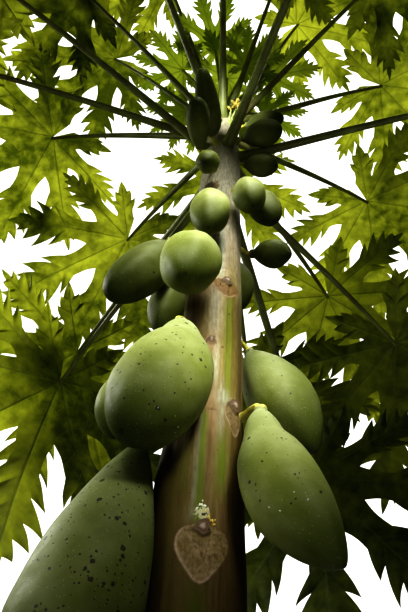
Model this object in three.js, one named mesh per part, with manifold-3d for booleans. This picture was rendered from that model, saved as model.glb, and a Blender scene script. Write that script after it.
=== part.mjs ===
// Papaya tree: one bare trunk, a column of fruit under the crown, long leaf stalks and
// deeply cut blades. Millimetres, Z up, the flat cut under the trunk is centred on the origin.
import * as THREE from "three";
import Module from "manifold-3d";

// Trunk
const TRUNK_TOP = 2985;
const TRUNK_SIDES = 16;
const TRUNK_RING_STEP = 130;
const TRUNK_RADII = [
  [0, 98],
  [60, 88],
  [200, 75],
  [500, 66],
  [1000, 60],
  [1700, 52],
  [2200, 46],
  [2700, 43],
  [2900, 34],
  [TRUNK_TOP, 24],
];
const ROOT_RIDGES = 5;
const ROOT_RIDGE_DEPTH = 0.1;
const ROOT_RIDGE_FADE = 110;
const NODE_SWELL = 0.012;
const NODE_SPACING = 170;
const SEAT_GAP = 0.3;
const SEAT_SAMPLES = 12;

// Fruit: height of its top, bearing, distance from the bark, rise of the stalk's root over the top,
// tilt and bearing of the tilt, length, width, place of the widest part, belly offset, and the
// powers that hold the neck narrow and the tip blunt. A last number draws in a bottle-shaped neck.
// Bearings in degrees, 0 towards -Y and 90 towards +X.
const FRUIT_ROWS = [
  [1879, -71, 32, 22, 11, -107, 366, 133, 0.62, 2, 0.8, 0.9],
  [2024, -24, 58, -6, 14, -73, 211, 117, 0.6, -18, 0.66, 0.4, 0.13],
  [2050, -104, 55, 20, 10, -92, 134, 79, 0.58, 7, 0.7, 0.7],
  [1893, 40, 50, 34, 20, 64, 223, 88, 0.55, -19, 0.62, 0.66, 0.17],
  [2120, 125, 28, 10, 26, 95, 208, 100, 0.54, 0, 0.7, 0.6],
  [2345, -83, 41, 20, 30, -94, 184, 86, 0.57, -12, 0.85, 0.39],
  [2220, -21, 54, 14, 18, -6, 152, 93, 0.5, -8, 0.62, 0.52],
  [2310, -124, 44, 16, 8, -126, 138, 66, 0.54, 0, 0.7, 0.55],
  [2400, -9, 40, 16, 6, -9, 140, 71, 0.53, 0, 0.75, 0.5],
  [2485, 37, 36, 14, 10, 45, 112, 64, 0.53, 0, 0.7, 0.55],
  [2530, 76, 33, 14, 15, 75, 125, 63, 0.53, 0, 0.7, 0.55],
  [2361, 105, 24, 6, 61, 64, 88, 55, 0.54, 3, 0.83, 0.8],
  [2410, 153, 36, 14, 6, 150, 135, 71, 0.53, 0, 0.7, 0.55],
  [2560, -17, 30, 12, 25, -17, 80, 47, 0.53, 0, 0.62, 0.5],
  [2653, -42, 32, 6, 77, -3, 123, 51, 0.6, -1, 0.55, 0.44],
  [2699, -21, 27, 6, 88, -10, 149, 54, 0.46, -22, 0.44, 0.34],
  [2738, 47, 22, 4, 70, 62, 100, 62, 0.55, 0, 0.62, 0.5],
  [2850, 64, 26, 4, 76, 68, 97, 50, 0.55, 0, 0.62, 0.5],
  [2676, 80, 10, 4, 72, 80, 78, 54, 0.54, 0, 0.6, 0.5],
  [2230, 176, 48, 18, 8, 176, 175, 104, 0.54, 0, 0.7, 0.55],
];
const FRUIT_SIDES = 10;
const SMALL_FRUIT_SIDES = 8;
const SMALL_FRUIT_LENGTH = 150;
const FRUIT_RINGS = [0.05, 0.14, 0.28, 0.43, 0.58, 0.73, 0.87, 0.96];
const FRUIT_STALK_RADIUS = 6.5;
const FRUIT_STALK_RINGS = 4;
const STALK_START_RISE = 0.35;
const NECK_PLACE = 0.2;
const NECK_SPREAD = 0.11;

// Leaves: height of the stalk's root, bearing, rise in degrees, stalk length, blade radius,
// fall of the blade's forward axis in degrees.
const LEAF_ROWS = [
  [2724, -61, 24, 650, 440, 26],
  [2796, -77, 7, 630, 450, 34],
  [2918, -63, 45, 560, 378, 9],
  [2945, -88, 57, 510, 340, 4],
  [2850, -28, 26, 640, 440, 20],
  [2885, -4, 39, 600, 395, 15],
  [2948, 25, 56, 480, 330, 4],
  [2712, 19, 10, 690, 450, 32],
  [2892, 53, 41, 570, 400, 12],
  [2940, 92, 44, 580, 380, 4],
  [2706, 75, 8, 650, 450, 34],
  [2868, 125, 31, 610, 430, 18],
  [2832, -149, 30, 600, 440, 24],
  [2775, 147, 17, 640, 440, 34],
  [2945, 178, 54, 520, 370, 6],
  [2664, -146, -3, 610, 440, 54],
  [2682, 170, 1, 630, 440, 50],
  [2968, -42, 68, 560, 310, 2],
  [2972, 62, 72, 520, 310, 0],
  [2872, -109, 34, 604, 421, 20],
  [2644, 131, -5, 583, 436, 42],
  [2604, 157, -22, 700, 445, 76],
  [2610, -141, -20, 560, 450, 74],
];
// The first leaves have a stalk and a blade of their own; in the later ones the two are one body.
const SEPARATE_LEAVES = 15;
const LEAF_STALK_SIDES = 6;
const LEAF_STALK_SEGMENTS = 6;
const FULL_STALK_LENGTH = 700;
const LEAF_STALK_ROOT_RADIUS = 15;
const LEAF_STALK_RADIUS = 11;
const LEAF_STALK_TIP_RADIUS = 5;
const LEAF_STALK_ROOT_FADE = 35;
const LEAF_STALK_ROOT_RISE = 20;
const LEAF_STALK_SAG = 10;
const LEAF_STALK_STEPS = 70;

// Blade: lobes as bearing from the forward axis and part of the blade radius
const LOBES = [
  [-144, 0.44],
  [-108, 0.68],
  [-72, 0.87],
  [-36, 0.97],
  [0, 1],
  [36, 0.97],
  [72, 0.87],
  [108, 0.68],
  [144, 0.44],
];
// Half outline of a lobe beyond its notch, and points on its rib, in parts of its length
const LOBE_EDGE = [
  [0.5, 0.1],
  [0.78, 0.21],
  [0.74, 0.105],
];
const LOBE_RIB = [0.28, 0.44, 0.58, 0.7];
const SHORT_LOBE = 0.5;
const SHORT_EDGE = [[0.66, 0.19]];
const SHORT_RIB = [0.3, 0.6];
const NOTCH_REACH = 0.42;
const REAR_NOTCH_BEARING = 168;
const REAR_NOTCH_REACH = 0.16;
const BLADE_THICKNESS = 7.5;
const BLADE_DROOP = 0.2;
const LOBE_FOLD = 0.22;
const BLADE_SEAT = 4;
const BLADE_SEAT_GAP = 0.4;

// Growing tip
const TIP_BASE_RADIUS = 20;
const TIP_BUD_HEIGHT = 90;
// Young leaves on it: bearing, lean from upright, stalk length, blade radius
const YOUNG_ROWS = [
  [10, 4, 185, 165],
  [-155, 16, 245, 190],
  [155, 17, 215, 170],
];
const YOUNG_ROOT_OFFSET = 6;
const YOUNG_ROOT_RISE = 30;
const YOUNG_STALK_RADIUS = 6;
const YOUNG_FALL = -4;
const YOUNG_THICKNESS = 4.5;

const COLOURS = {
  trunk: 0x9a8b72,
  tip: 0x9fae4d,
  fruit: 0x8fa45c,
  stalk: 0x8f9a5e,
  blade: 0x6f8f24,
};

function radians(degrees) {
  return (degrees * Math.PI) / 180;
}

function bearing(degrees) {
  const angle = radians(degrees);
  return new THREE.Vector3(Math.sin(angle), -Math.cos(angle), 0);
}

function trunkRadius(height) {
  const above = TRUNK_RADII.findIndex((row) => row[0] >= height);
  if (above < 1) {
    return above === 0 ? TRUNK_RADII[0][1] : TRUNK_RADII[TRUNK_RADII.length - 1][1];
  }
  const [lowHeight, lowRadius] = TRUNK_RADII[above - 1];
  const [highHeight, highRadius] = TRUNK_RADII[above];
  const part = (height - lowHeight) / (highHeight - lowHeight);
  return lowRadius + (highRadius - lowRadius) * part;
}

function solidMesh(name, points, triangles, colour) {
  const geometry = new THREE.BufferGeometry();
  const flat = points.flatMap((p) => [p.x, p.y, p.z]);
  geometry.setAttribute("position", new THREE.Float32BufferAttribute(flat, 3));
  geometry.setIndex(triangles.flat());
  geometry.computeVertexNormals();
  const material = new THREE.MeshStandardMaterial({ color: colour, roughness: 0.7 });
  const mesh = new THREE.Mesh(geometry, material);
  mesh.name = name;
  return mesh;
}

// Points and triangles of a closed skin over rings of equal count, ends closed by fans.
function skinRings(rings, startPoint, endPoint) {
  const sides = rings[0].length;
  const points = rings.flat();
  const triangles = [];
  for (let ring = 0; ring + 1 < rings.length; ring += 1) {
    for (let side = 0; side < sides; side += 1) {
      const next = (side + 1) % sides;
      const a = ring * sides + side;
      const b = ring * sides + next;
      triangles.push([a, b, b + sides], [a, b + sides, a + sides]);
    }
  }
  const start = points.push(startPoint) - 1;
  const end = points.push(endPoint) - 1;
  const last = (rings.length - 1) * sides;
  for (let side = 0; side < sides; side += 1) {
    const next = (side + 1) % sides;
    triangles.push([start, next, side], [end, last + side, last + next]);
  }
  return { points, triangles };
}

// Rings square to a path, turned as little as possible from one to the next.
function sweepRings(path, radii, sides, firstNormal) {
  const rings = [];
  let across = null;
  path.forEach((centre, index) => {
    const before = path[Math.max(index - 1, 0)];
    const after = path[Math.min(index + 1, path.length - 1)];
    const along = after.clone().sub(before).normalize();
    if (index === 0 && firstNormal) {
      along.copy(firstNormal);
    }
    if (!across) {
      across = new THREE.Vector3(0, 0, 1).cross(along).normalize();
    }
    across = across.clone().addScaledVector(along, -across.dot(along)).normalize();
    const up = along.clone().cross(across);
    const ring = [];
    for (let side = 0; side < sides; side += 1) {
      const angle = (2 * Math.PI * side) / sides;
      const offset = across.clone().multiplyScalar(Math.cos(angle) * radii[index]);
      offset.addScaledVector(up, Math.sin(angle) * radii[index]);
      ring.push(centre.clone().add(offset));
    }
    rings.push(ring);
  });
  return rings;
}

function trunkRing(height) {
  const ring = [];
  const ridge = ROOT_RIDGE_DEPTH * Math.exp(-height / ROOT_RIDGE_FADE);
  const swell = NODE_SWELL * Math.cos((2 * Math.PI * height) / NODE_SPACING);
  for (let side = 0; side < TRUNK_SIDES; side += 1) {
    const angle = (2 * Math.PI * side) / TRUNK_SIDES;
    const shape = 1 + ridge * Math.cos(ROOT_RIDGES * angle) - NODE_SWELL + swell;
    const radius = trunkRadius(height) * shape;
    ring.push(new THREE.Vector3(Math.cos(angle) * radius, Math.sin(angle) * radius, height));
  }
  return ring;
}

function trunkHeights() {
  const heights = [0, 25, 60, 110];
  for (let height = 180; height < TRUNK_TOP - 40; height += TRUNK_RING_STEP) {
    heights.push(height);
  }
  heights.push(TRUNK_TOP);
  return heights;
}

// Reach of the faceted trunk along a bearing, at a height and a distance to one side.
function trunkReach(out, height, aside) {
  const heights = trunkHeights();
  const above = Math.min(Math.max(heights.findIndex((h) => h >= height), 1), heights.length - 1);
  const part = (height - heights[above - 1]) / (heights[above] - heights[above - 1]);
  const low = trunkRing(heights[above - 1])[0].x;
  const high = trunkRing(heights[above])[0].x;
  const flat = (low + (high - low) * part) * Math.cos(Math.PI / TRUNK_SIDES);
  const side = new THREE.Vector3(0, 0, 1).cross(out);
  let reach = Infinity;
  for (let index = 0; index < TRUNK_SIDES; index += 1) {
    const angle = (2 * Math.PI * (index + 0.5)) / TRUNK_SIDES;
    const normal = new THREE.Vector3(Math.cos(angle), Math.sin(angle), 0);
    const facing = normal.dot(out);
    if (facing > 0.01) {
      reach = Math.min(reach, (flat - aside * normal.dot(side)) / facing);
    }
  }
  return reach;
}

// Distance from the trunk's axis at which a disc square to the bearing just clears the bark.
function seatOnTrunk(out, height, radius) {
  let reach = 0;
  for (let index = 0; index <= SEAT_SAMPLES; index += 1) {
    const aside = radius * ((2 * index) / SEAT_SAMPLES - 1);
    const drop = Math.sqrt(Math.max(radius * radius - aside * aside, 0));
    reach = Math.max(reach, trunkReach(out, height - drop, aside));
    reach = Math.max(reach, trunkReach(out, height + drop, aside));
  }
  return reach + SEAT_GAP;
}

function makeTrunk() {
  const rings = trunkHeights().map(trunkRing);
  const foot = new THREE.Vector3(0, 0, 0);
  const crown = new THREE.Vector3(0, 0, TRUNK_TOP);
  const { points, triangles } = skinRings(rings, foot, crown);
  return solidMesh("trunk", points, triangles, COLOURS.trunk);
}

function fruitShape(part, widest, neck, tip, drawn) {
  if (part < widest) {
    const bottle = 1 - drawn * Math.exp(-(((part - NECK_PLACE) / NECK_SPREAD) ** 2));
    return bottle * Math.sin((Math.PI / 2) * (part / widest)) ** neck;
  }
  return Math.cos((Math.PI / 2) * ((part - widest) / (1 - widest))) ** tip;
}

function hermite(start, startPull, end, endPull, part) {
  const p2 = part * part;
  const p3 = p2 * part;
  const point = start.clone().multiplyScalar(2 * p3 - 3 * p2 + 1);
  point.addScaledVector(startPull, p3 - 2 * p2 + part);
  point.addScaledVector(end, -2 * p3 + 3 * p2);
  point.addScaledVector(endPull, p3 - p2);
  return point;
}

function makeFruit(name, row) {
  const [height, turn, gap, rise, tilt, tiltTurn, length, width, ...shape] = row;
  const [widest, belly, neck, tip, drawn = 0] = shape;
  const out = bearing(turn);
  const lean = bearing(tiltTurn);
  const axis = lean.clone().multiplyScalar(Math.sin(radians(tilt)));
  axis.z = -Math.cos(radians(tilt));
  const rootHeight = height + rise;
  const bark = seatOnTrunk(out, rootHeight, FRUIT_STALK_RADIUS);
  const root = out.clone().multiplyScalar(bark).setZ(rootHeight);
  const top = out.clone().multiplyScalar(trunkRadius(height) + gap).setZ(height);
  const path = [];
  const radii = [];
  const startPull = out.clone().setZ(STALK_START_RISE).multiplyScalar(gap);
  const endPull = axis.clone().multiplyScalar(gap);
  for (let ring = 0; ring < FRUIT_STALK_RINGS; ring += 1) {
    const part = ring / FRUIT_STALK_RINGS;
    path.push(hermite(root, startPull, top, endPull, part));
    radii.push(FRUIT_STALK_RADIUS);
  }
  for (const part of FRUIT_RINGS) {
    const centre = top.clone().addScaledVector(axis, length * part);
    centre.addScaledVector(lean, belly * 4 * part * (1 - part));
    path.push(centre);
    const radius = (width / 2) * fruitShape(part, widest, neck, tip, drawn);
    radii.push(Math.max(radius, FRUIT_STALK_RADIUS));
  }
  const sides = length < SMALL_FRUIT_LENGTH ? SMALL_FRUIT_SIDES : FRUIT_SIDES;
  const rings = sweepRings(path, radii, sides, out);
  const end = top.clone().addScaledVector(axis, length);
  const { points, triangles } = skinRings(rings, root, end);
  return solidMesh(name, points, triangles, COLOURS.fruit);
}

// Path of a leaf stalk: it leaves the bark low, rises to its own slope and sags towards the blade.
function leafStalkPath(row) {
  const [height, turn, rise, length] = row;
  const out = bearing(turn);
  const step = length / LEAF_STALK_STEPS;
  const bark = seatOnTrunk(out, height, (LEAF_STALK_ROOT_RADIUS * length) / FULL_STALK_LENGTH);
  const point = out.clone().multiplyScalar(bark).setZ(height);
  const dense = [point.clone()];
  for (let index = 0; index < LEAF_STALK_STEPS; index += 1) {
    const along = (index + 0.5) * step;
    const rooted = Math.exp(-along / LEAF_STALK_ROOT_FADE);
    const settled = rise - LEAF_STALK_SAG * (along / length) ** 2;
    const slope = settled + (Math.min(rise, LEAF_STALK_ROOT_RISE) - rise) * rooted;
    point.addScaledVector(out, step * Math.cos(radians(slope)));
    point.z += step * Math.sin(radians(slope));
    dense.push(point.clone());
  }
  return { dense, out };
}

function leafStalkRings(row) {
  const { dense, out } = leafStalkPath(row);
  const path = [];
  const radii = [];
  const girth = row[3] / FULL_STALK_LENGTH;
  for (let ring = 0; ring <= LEAF_STALK_SEGMENTS; ring += 1) {
    const part = (ring / LEAF_STALK_SEGMENTS) ** 1.5;
    const along = part * row[3];
    const taper = LEAF_STALK_RADIUS + (LEAF_STALK_TIP_RADIUS - LEAF_STALK_RADIUS) * part;
    const flare = LEAF_STALK_ROOT_RADIUS - LEAF_STALK_RADIUS;
    path.push(dense[Math.round(part * LEAF_STALK_STEPS)]);
    radii.push(girth * (taper + flare * Math.exp(-along / LEAF_STALK_ROOT_FADE)));
  }
  const rings = sweepRings(path, radii, LEAF_STALK_SIDES, out);
  return { rings, root: path[0], tip: path[path.length - 1], out };
}

function makeLeafStalk(name, row) {
  const { rings, root, tip } = leafStalkRings(row);
  const { points, triangles } = skinRings(rings, root, tip);
  return solidMesh(name, points, triangles, COLOURS.stalk);
}

function lobePoint(turn, along, across) {
  const angle = radians(turn);
  return {
    u: along * Math.cos(angle) - across * Math.sin(angle),
    v: along * Math.sin(angle) + across * Math.cos(angle),
    across: Math.abs(across),
  };
}

function notchPoint(first, second) {
  const reach = (NOTCH_REACH * (first[1] + second[1])) / 2;
  const middle = (first[0] + second[0]) / 2;
  const point = lobePoint(middle, reach, 0);
  point.across = reach * Math.sin(radians(second[0] - first[0]) / 2);
  return point;
}

// Flat pattern of a blade: points and triangles, with the two edges of each lobe meeting its rib.
function bladePattern() {
  const points = [{ u: 0, v: 0, across: 0 }];
  const triangles = [];
  const rear = [-1, 1].map((sign) => {
    const point = lobePoint(sign * REAR_NOTCH_BEARING, REAR_NOTCH_REACH, 0);
    return points.push(point) - 1;
  });
  const notches = [rear[0]];
  for (let lobe = 0; lobe + 1 < LOBES.length; lobe += 1) {
    notches.push(points.push(notchPoint(LOBES[lobe], LOBES[lobe + 1])) - 1);
  }
  notches.push(rear[1]);
  LOBES.forEach(([turn, reach], lobe) => {
    const short = reach < SHORT_LOBE;
    const ribParts = short ? SHORT_RIB : LOBE_RIB;
    const edgeParts = short ? SHORT_EDGE : LOBE_EDGE;
    const rib = ribParts.map((along) => points.push(lobePoint(turn, along * reach, 0)) - 1);
    const tip = points.push(lobePoint(turn, reach, 0)) - 1;
    for (const sign of [-1, 1]) {
      const edge = [notches[sign < 0 ? lobe : lobe + 1]];
      for (const [along, across] of edgeParts) {
        edge.push(points.push(lobePoint(turn, along * reach, sign * across * reach)) - 1);
      }
      const fan = [[0, edge[0], rib[0]]];
      for (let index = 0; index + 1 < rib.length; index += 1) {
        fan.push([rib[index], edge[index], edge[index + 1]]);
        fan.push([rib[index], edge[index + 1], rib[index + 1]]);
      }
      fan.push([rib[rib.length - 1], edge[edge.length - 1], tip]);
      triangles.push(...fan.map((t) => (sign < 0 ? t : [t[0], t[2], t[1]])));
    }
  });
  return { points, triangles };
}

// Edges that belong to one triangle only, in that triangle's direction.
function borderEdges(triangles) {
  const seen = new Map();
  for (const [a, b, c] of triangles) {
    for (const [from, to] of [[a, b], [b, c], [c, a]]) {
      seen.set(`${from}:${to}`, [from, to]);
    }
  }
  return [...seen.values()].filter(([from, to]) => !seen.has(`${to}:${from}`));
}

// Points and triangles of a thin blade with its hub, forward axis and side axis in space.
function bladeSkin(hub, forward, side, radius, thickness) {
  const normal = forward.clone().cross(side);
  const pattern = bladePattern();
  const count = pattern.points.length;
  const points = [];
  for (const layer of [0.5, -0.5]) {
    for (const { u, v, across } of pattern.points) {
      const dip = -BLADE_DROOP * (u * u + v * v) + LOBE_FOLD * across;
      const point = hub.clone().addScaledVector(forward, u * radius);
      point.addScaledVector(side, v * radius);
      point.addScaledVector(normal, dip * radius + layer * thickness);
      points.push(point);
    }
  }
  const triangles = [...pattern.triangles];
  for (const [a, b, c] of pattern.triangles) {
    triangles.push([a + count, c + count, b + count]);
  }
  for (const [from, to] of borderEdges(pattern.triangles)) {
    triangles.push([to, from, from + count], [to, from + count, to + count]);
  }
  return { points, triangles };
}

function bladeAxes(out, fall) {
  const forward = out.clone().multiplyScalar(Math.cos(radians(fall)));
  forward.z = -Math.sin(radians(fall));
  const side = new THREE.Vector3(0, 0, 1).cross(out);
  return { forward, side, normal: forward.clone().cross(side) };
}

// Skin of a leaf's blade: it lies on the stalk's tip, or the tip is sunk into it.
function leafBladeSkin(row, sunk) {
  const [, , , , radius, fall] = row;
  const { rings, tip, out } = leafStalkRings(row);
  const { forward, side, normal } = bladeAxes(out, fall);
  const heights = rings[rings.length - 1].map((point) => point.clone().sub(tip).dot(normal));
  const reach = Math.max(...heights);
  const clear = sunk ? reach / 2 : reach + BLADE_THICKNESS / 2 + BLADE_SEAT_GAP;
  const hub = tip.clone().addScaledVector(normal, clear).addScaledVector(forward, -BLADE_SEAT);
  return bladeSkin(hub, forward, side, radius, BLADE_THICKNESS);
}

function makeBlade(name, row) {
  const { points, triangles } = leafBladeSkin(row, false);
  return solidMesh(name, points, triangles, COLOURS.blade);
}

function toManifold(wasm, { points, triangles }) {
  const source = {
    numProp: 3,
    vertProperties: new Float32Array(points.flatMap((p) => [p.x, p.y, p.z])),
    triVerts: new Uint32Array(triangles.flat()),
  };
  return new wasm.Manifold(new wasm.Mesh(source));
}

// One body out of several overlapping skins.
function fusedMesh(wasm, name, skins, colour) {
  const bodies = skins.map((skin) => toManifold(wasm, skin));
  const mesh = bodies.reduce((whole, body) => whole.add(body)).getMesh();
  const points = [];
  for (let index = 0; index < mesh.vertProperties.length; index += mesh.numProp) {
    points.push(new THREE.Vector3(...mesh.vertProperties.slice(index, index + 3)));
  }
  const triangles = [];
  for (let index = 0; index < mesh.triVerts.length; index += 3) {
    triangles.push([...mesh.triVerts.slice(index, index + 3)]);
  }
  return solidMesh(name, points, triangles, colour);
}

function makeWholeLeaf(wasm, name, row) {
  const { rings, root, tip } = leafStalkRings(row);
  const skins = [skinRings(rings, root, tip), leafBladeSkin(row, true)];
  return fusedMesh(wasm, name, skins, COLOURS.blade);
}

// Stalk and blade of one young leaf on the growing tip.
function youngLeafSkins([turn, lean, length, radius]) {
  const out = bearing(turn);
  const axis = out.clone().multiplyScalar(Math.sin(radians(lean)));
  axis.z = Math.cos(radians(lean));
  const start = out.clone().multiplyScalar(YOUNG_ROOT_OFFSET).setZ(TRUNK_TOP + YOUNG_ROOT_RISE);
  const path = [0, 0.5, 1].map((part) => start.clone().addScaledVector(axis, part * length));
  const radii = [YOUNG_STALK_RADIUS, YOUNG_STALK_RADIUS * 0.8, YOUNG_STALK_RADIUS * 0.6];
  const stalk = skinRings(sweepRings(path, radii, 6), path[0], path[2]);
  const { forward, side } = bladeAxes(out, YOUNG_FALL);
  const blade = bladeSkin(path[2], forward, side, radius, YOUNG_THICKNESS);
  return [stalk, blade];
}

function makeGrowingTip(wasm) {
  const base = TRUNK_TOP + SEAT_GAP;
  const heights = [0, 0.3, 0.6, 0.85];
  const radii = [TIP_BASE_RADIUS, 18, 14, 8];
  const path = heights.map((part) => new THREE.Vector3(0, 0, base + part * TIP_BUD_HEIGHT));
  const rings = path.map((centre, index) => {
    const ring = [];
    for (let side = 0; side < 8; side += 1) {
      const angle = (2 * Math.PI * side) / 8;
      const x = Math.cos(angle) * radii[index];
      const y = Math.sin(angle) * radii[index];
      ring.push(new THREE.Vector3(x, y, centre.z));
    }
    return ring;
  });
  const peak = new THREE.Vector3(0, 0, base + TIP_BUD_HEIGHT);
  const skins = [skinRings(rings, path[0], peak), ...YOUNG_ROWS.flatMap(youngLeafSkins)];
  return fusedMesh(wasm, "growing_tip", skins, COLOURS.tip);
}

function numbered(stem, index) {
  return `${stem}_${String(index + 1).padStart(2, "0")}`;
}

const wasm = await Module();
wasm.setup();
const tree = new THREE.Group();
tree.name = "papaya_tree";
tree.add(makeTrunk());
tree.add(makeGrowingTip(wasm));
FRUIT_ROWS.forEach((row, index) => tree.add(makeFruit(numbered("fruit", index), row)));
LEAF_ROWS.forEach((row, index) => {
  if (index < SEPARATE_LEAVES) {
    tree.add(makeLeafStalk(numbered("leaf_stalk", index), row));
    tree.add(makeBlade(numbered("leaf_blade", index), row));
  } else {
    tree.add(makeWholeLeaf(wasm, numbered("leaf", index), row));
  }
});

export default tree;
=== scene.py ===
import math

import bpy
import numpy as np
from mathutils import Matrix, Vector, noise
from mathutils.bvhtree import BVHTree


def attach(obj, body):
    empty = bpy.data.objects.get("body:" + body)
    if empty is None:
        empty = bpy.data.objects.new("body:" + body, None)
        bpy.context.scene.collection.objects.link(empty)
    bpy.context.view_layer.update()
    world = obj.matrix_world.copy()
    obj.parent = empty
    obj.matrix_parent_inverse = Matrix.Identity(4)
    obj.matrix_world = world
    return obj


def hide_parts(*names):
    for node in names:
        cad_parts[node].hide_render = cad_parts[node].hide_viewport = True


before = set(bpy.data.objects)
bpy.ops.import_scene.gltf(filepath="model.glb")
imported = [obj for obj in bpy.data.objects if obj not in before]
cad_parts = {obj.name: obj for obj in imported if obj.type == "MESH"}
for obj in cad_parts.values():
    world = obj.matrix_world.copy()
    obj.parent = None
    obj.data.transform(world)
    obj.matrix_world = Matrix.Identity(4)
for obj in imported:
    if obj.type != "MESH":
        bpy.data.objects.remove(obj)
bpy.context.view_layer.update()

# Viewpoint. The tree is seen from under its crown, a little over half a metre in front of the
# trunk at chest height, looking steeply up and tipped slightly to one side.
VIEW_PLACE = Vector((0, -0.64, 1.40))
VIEW_RISE = math.radians(50.5)
VIEW_TURN = math.radians(1.36)
VIEW_ROLL = math.radians(4.27)
VIEW_SIZE = (408, 612)
VIEW_FOCUS = 612
FILM_SIZE = 36
NEAREST_SEEN = 0.02


def new_object(name, data):
    made = bpy.data.objects.new(name, data)
    scene.collection.objects.link(made)
    return made


def viewing_axes():
    forward = Vector((-math.sin(VIEW_TURN) * math.cos(VIEW_RISE),
                      math.cos(VIEW_TURN) * math.cos(VIEW_RISE), math.sin(VIEW_RISE)))
    level = Vector((math.cos(VIEW_TURN), math.sin(VIEW_TURN), 0))
    over = level.cross(forward)
    right = level * math.cos(VIEW_ROLL) + over * math.sin(VIEW_ROLL)
    up = over * math.cos(VIEW_ROLL) - level * math.sin(VIEW_ROLL)
    return right, up, forward


scene = bpy.context.scene
view_right, view_up, view_forward = viewing_axes()
camera = new_object("camera", bpy.data.cameras.new("camera"))
camera.data.sensor_width = FILM_SIZE
camera.data.lens = FILM_SIZE * VIEW_FOCUS / VIEW_SIZE[1]
camera.data.clip_start = NEAREST_SEEN
turned = Matrix((view_right, view_up, -view_forward)).transposed().to_4x4()
camera.matrix_world = Matrix.Translation(VIEW_PLACE) @ turned
scene.camera = camera
scene.view_settings.view_transform = "Standard"
scene.view_settings.look = "Very High Contrast"

# Floor and light. A plain pale floor, a white sky that is brightest overhead, and soft lamps: one
# over the crown that shines through the leaves, one at its side, small ones before the trunk, held
# to narrow beams, for the fruit and the bark between them, and two low ones for the foot.
FLOOR_RADIUS = 7
FLOOR_SIDES = 96
FLOOR_COLOUR = (0.72, 0.71, 0.69, 1)
SKY_COLOUR = (1, 1, 1, 1)
SKY_STRENGTH = 0.055
# Rise of a direction at which the sky has no light, and at which it has all of it.
SKY_DARK = -0.1
SKY_BRIGHT = 0.95
# Place, what the lamp aims at, width, power in watts and spread in degrees.
LAMPS = {"crown_lamp": ((0.5, 0.3, 6.2), (0, 0, 3.0), 3.4, 104, 180),
         "side_lamp": ((-2.6, 0.6, 3.6), (-0.5, 0.1, 2.5), 1.2, 8, 60),
         "trunk_lamp": ((0.14, -0.60, 2.85), (0.03, -0.06, 2.30), 0.35, 0.60, 40),
         "left_lamp": ((-0.9, -0.6, 2.0), (-0.12, -0.08, 1.66), 0.3, 0.07, 26),
         "right_lamp": ((0.30, -1.10, 2.30), (0.06, -0.10, 1.95), 0.3, 0.32, 24),
         "near_lamp": ((-0.45, -1.05, 2.45), (-0.04, -0.12, 2.04), 0.3, 0.17, 22),
         "hub_lamp": ((-0.10, -0.55, 2.58), (0.015, -0.05, 2.86), 0.1, 0.08, 18),
         "rear_lamp": ((1.6, 2.6, 0.9), (0, 0, 0.3), 1.6, 6, 50),
         "foot_lamp": ((-1.4, -2.4, 1.0), (0, 0, 0.25), 1.6, 4.5, 44),
         "front_lamp": ((0, -1.30, 2.50), (0, -0.05, 2.25), 0.3, 0.13, 20)}


def fill(tree, node, values):
    """Joins or sets a node's sockets by name or number."""
    for key, value in values.items():
        if isinstance(value, bpy.types.NodeSocket):
            tree.links.new(value, node.inputs[key])
        else:
            node.inputs[key].default_value = value


def add_node(tree, kind, values=None, **settings):
    made = tree.nodes.new(kind)
    for key, value in settings.items():
        setattr(made, key, value)
    fill(tree, made, values or {})
    return made


def span(tree, value, low, high, first=0.0, last=1.0):
    """A value carried from one range to another, and held at its ends."""
    return add_node(tree, "ShaderNodeMapRange", {0: value, 1: low, 2: high, 3: first, 4: last}).outputs[0]


def new_material(name):
    material = bpy.data.materials.new(name)
    material.use_nodes = True
    return material, material.node_tree, material.node_tree.nodes["Principled BSDF"]


def new_mesh(name, points, faces):
    mesh = bpy.data.meshes.new(name)
    mesh.from_pydata(points, [], faces)
    return mesh


def full_turn(count):
    """Angles evenly round a circle."""
    return 2 * np.pi * np.arange(count) / count


def make_floor():
    rim = [(FLOOR_RADIUS * math.cos(a), FLOOR_RADIUS * math.sin(a), 0) for a in full_turn(FLOOR_SIDES)]
    floor = new_object("floor", new_mesh("floor", rim, [range(FLOOR_SIDES)]))
    paint, tree, shader = new_material("pale_floor")
    fill(tree, shader, {"Base Color": FLOOR_COLOUR, "Roughness": 0.9})
    floor.data.materials.append(paint)


def light_sky():
    sky = bpy.data.worlds.new("sky")
    sky.use_nodes = True
    tree = sky.node_tree
    tree.nodes.clear()
    way = add_node(tree, "ShaderNodeTexCoord").outputs["Generated"]
    rise = add_node(tree, "ShaderNodeSeparateXYZ", {0: way}).outputs["Z"]
    light = span(tree, rise, SKY_DARK, SKY_BRIGHT, 0, SKY_STRENGTH)
    seen = add_node(tree, "ShaderNodeLightPath").outputs["Is Camera Ray"]
    strength = add_node(tree, "ShaderNodeMix", {0: seen, 2: light, 3: 1.0}).outputs[0]
    shine = add_node(tree, "ShaderNodeBackground", {0: SKY_COLOUR, 1: strength})
    add_node(tree, "ShaderNodeOutputWorld", {0: shine.outputs[0]})
    scene.world = sky


def add_lamp(name, place, aim, width, power, spread):
    data = bpy.data.lights.new(name, "AREA")
    data.shape = "DISK"
    data.size = width
    data.energy = power
    data.spread = math.radians(spread)
    lamp = new_object(name, data)
    lamp.location = place
    lamp.rotation_euler = (Vector(aim) - Vector(place)).to_track_quat("-Z", "Y").to_euler()
    lamp.visible_camera = False


make_floor()
light_sky()
for lamp_name, lamp_row in LAMPS.items():
    add_lamp(lamp_name, *lamp_row)

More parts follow.
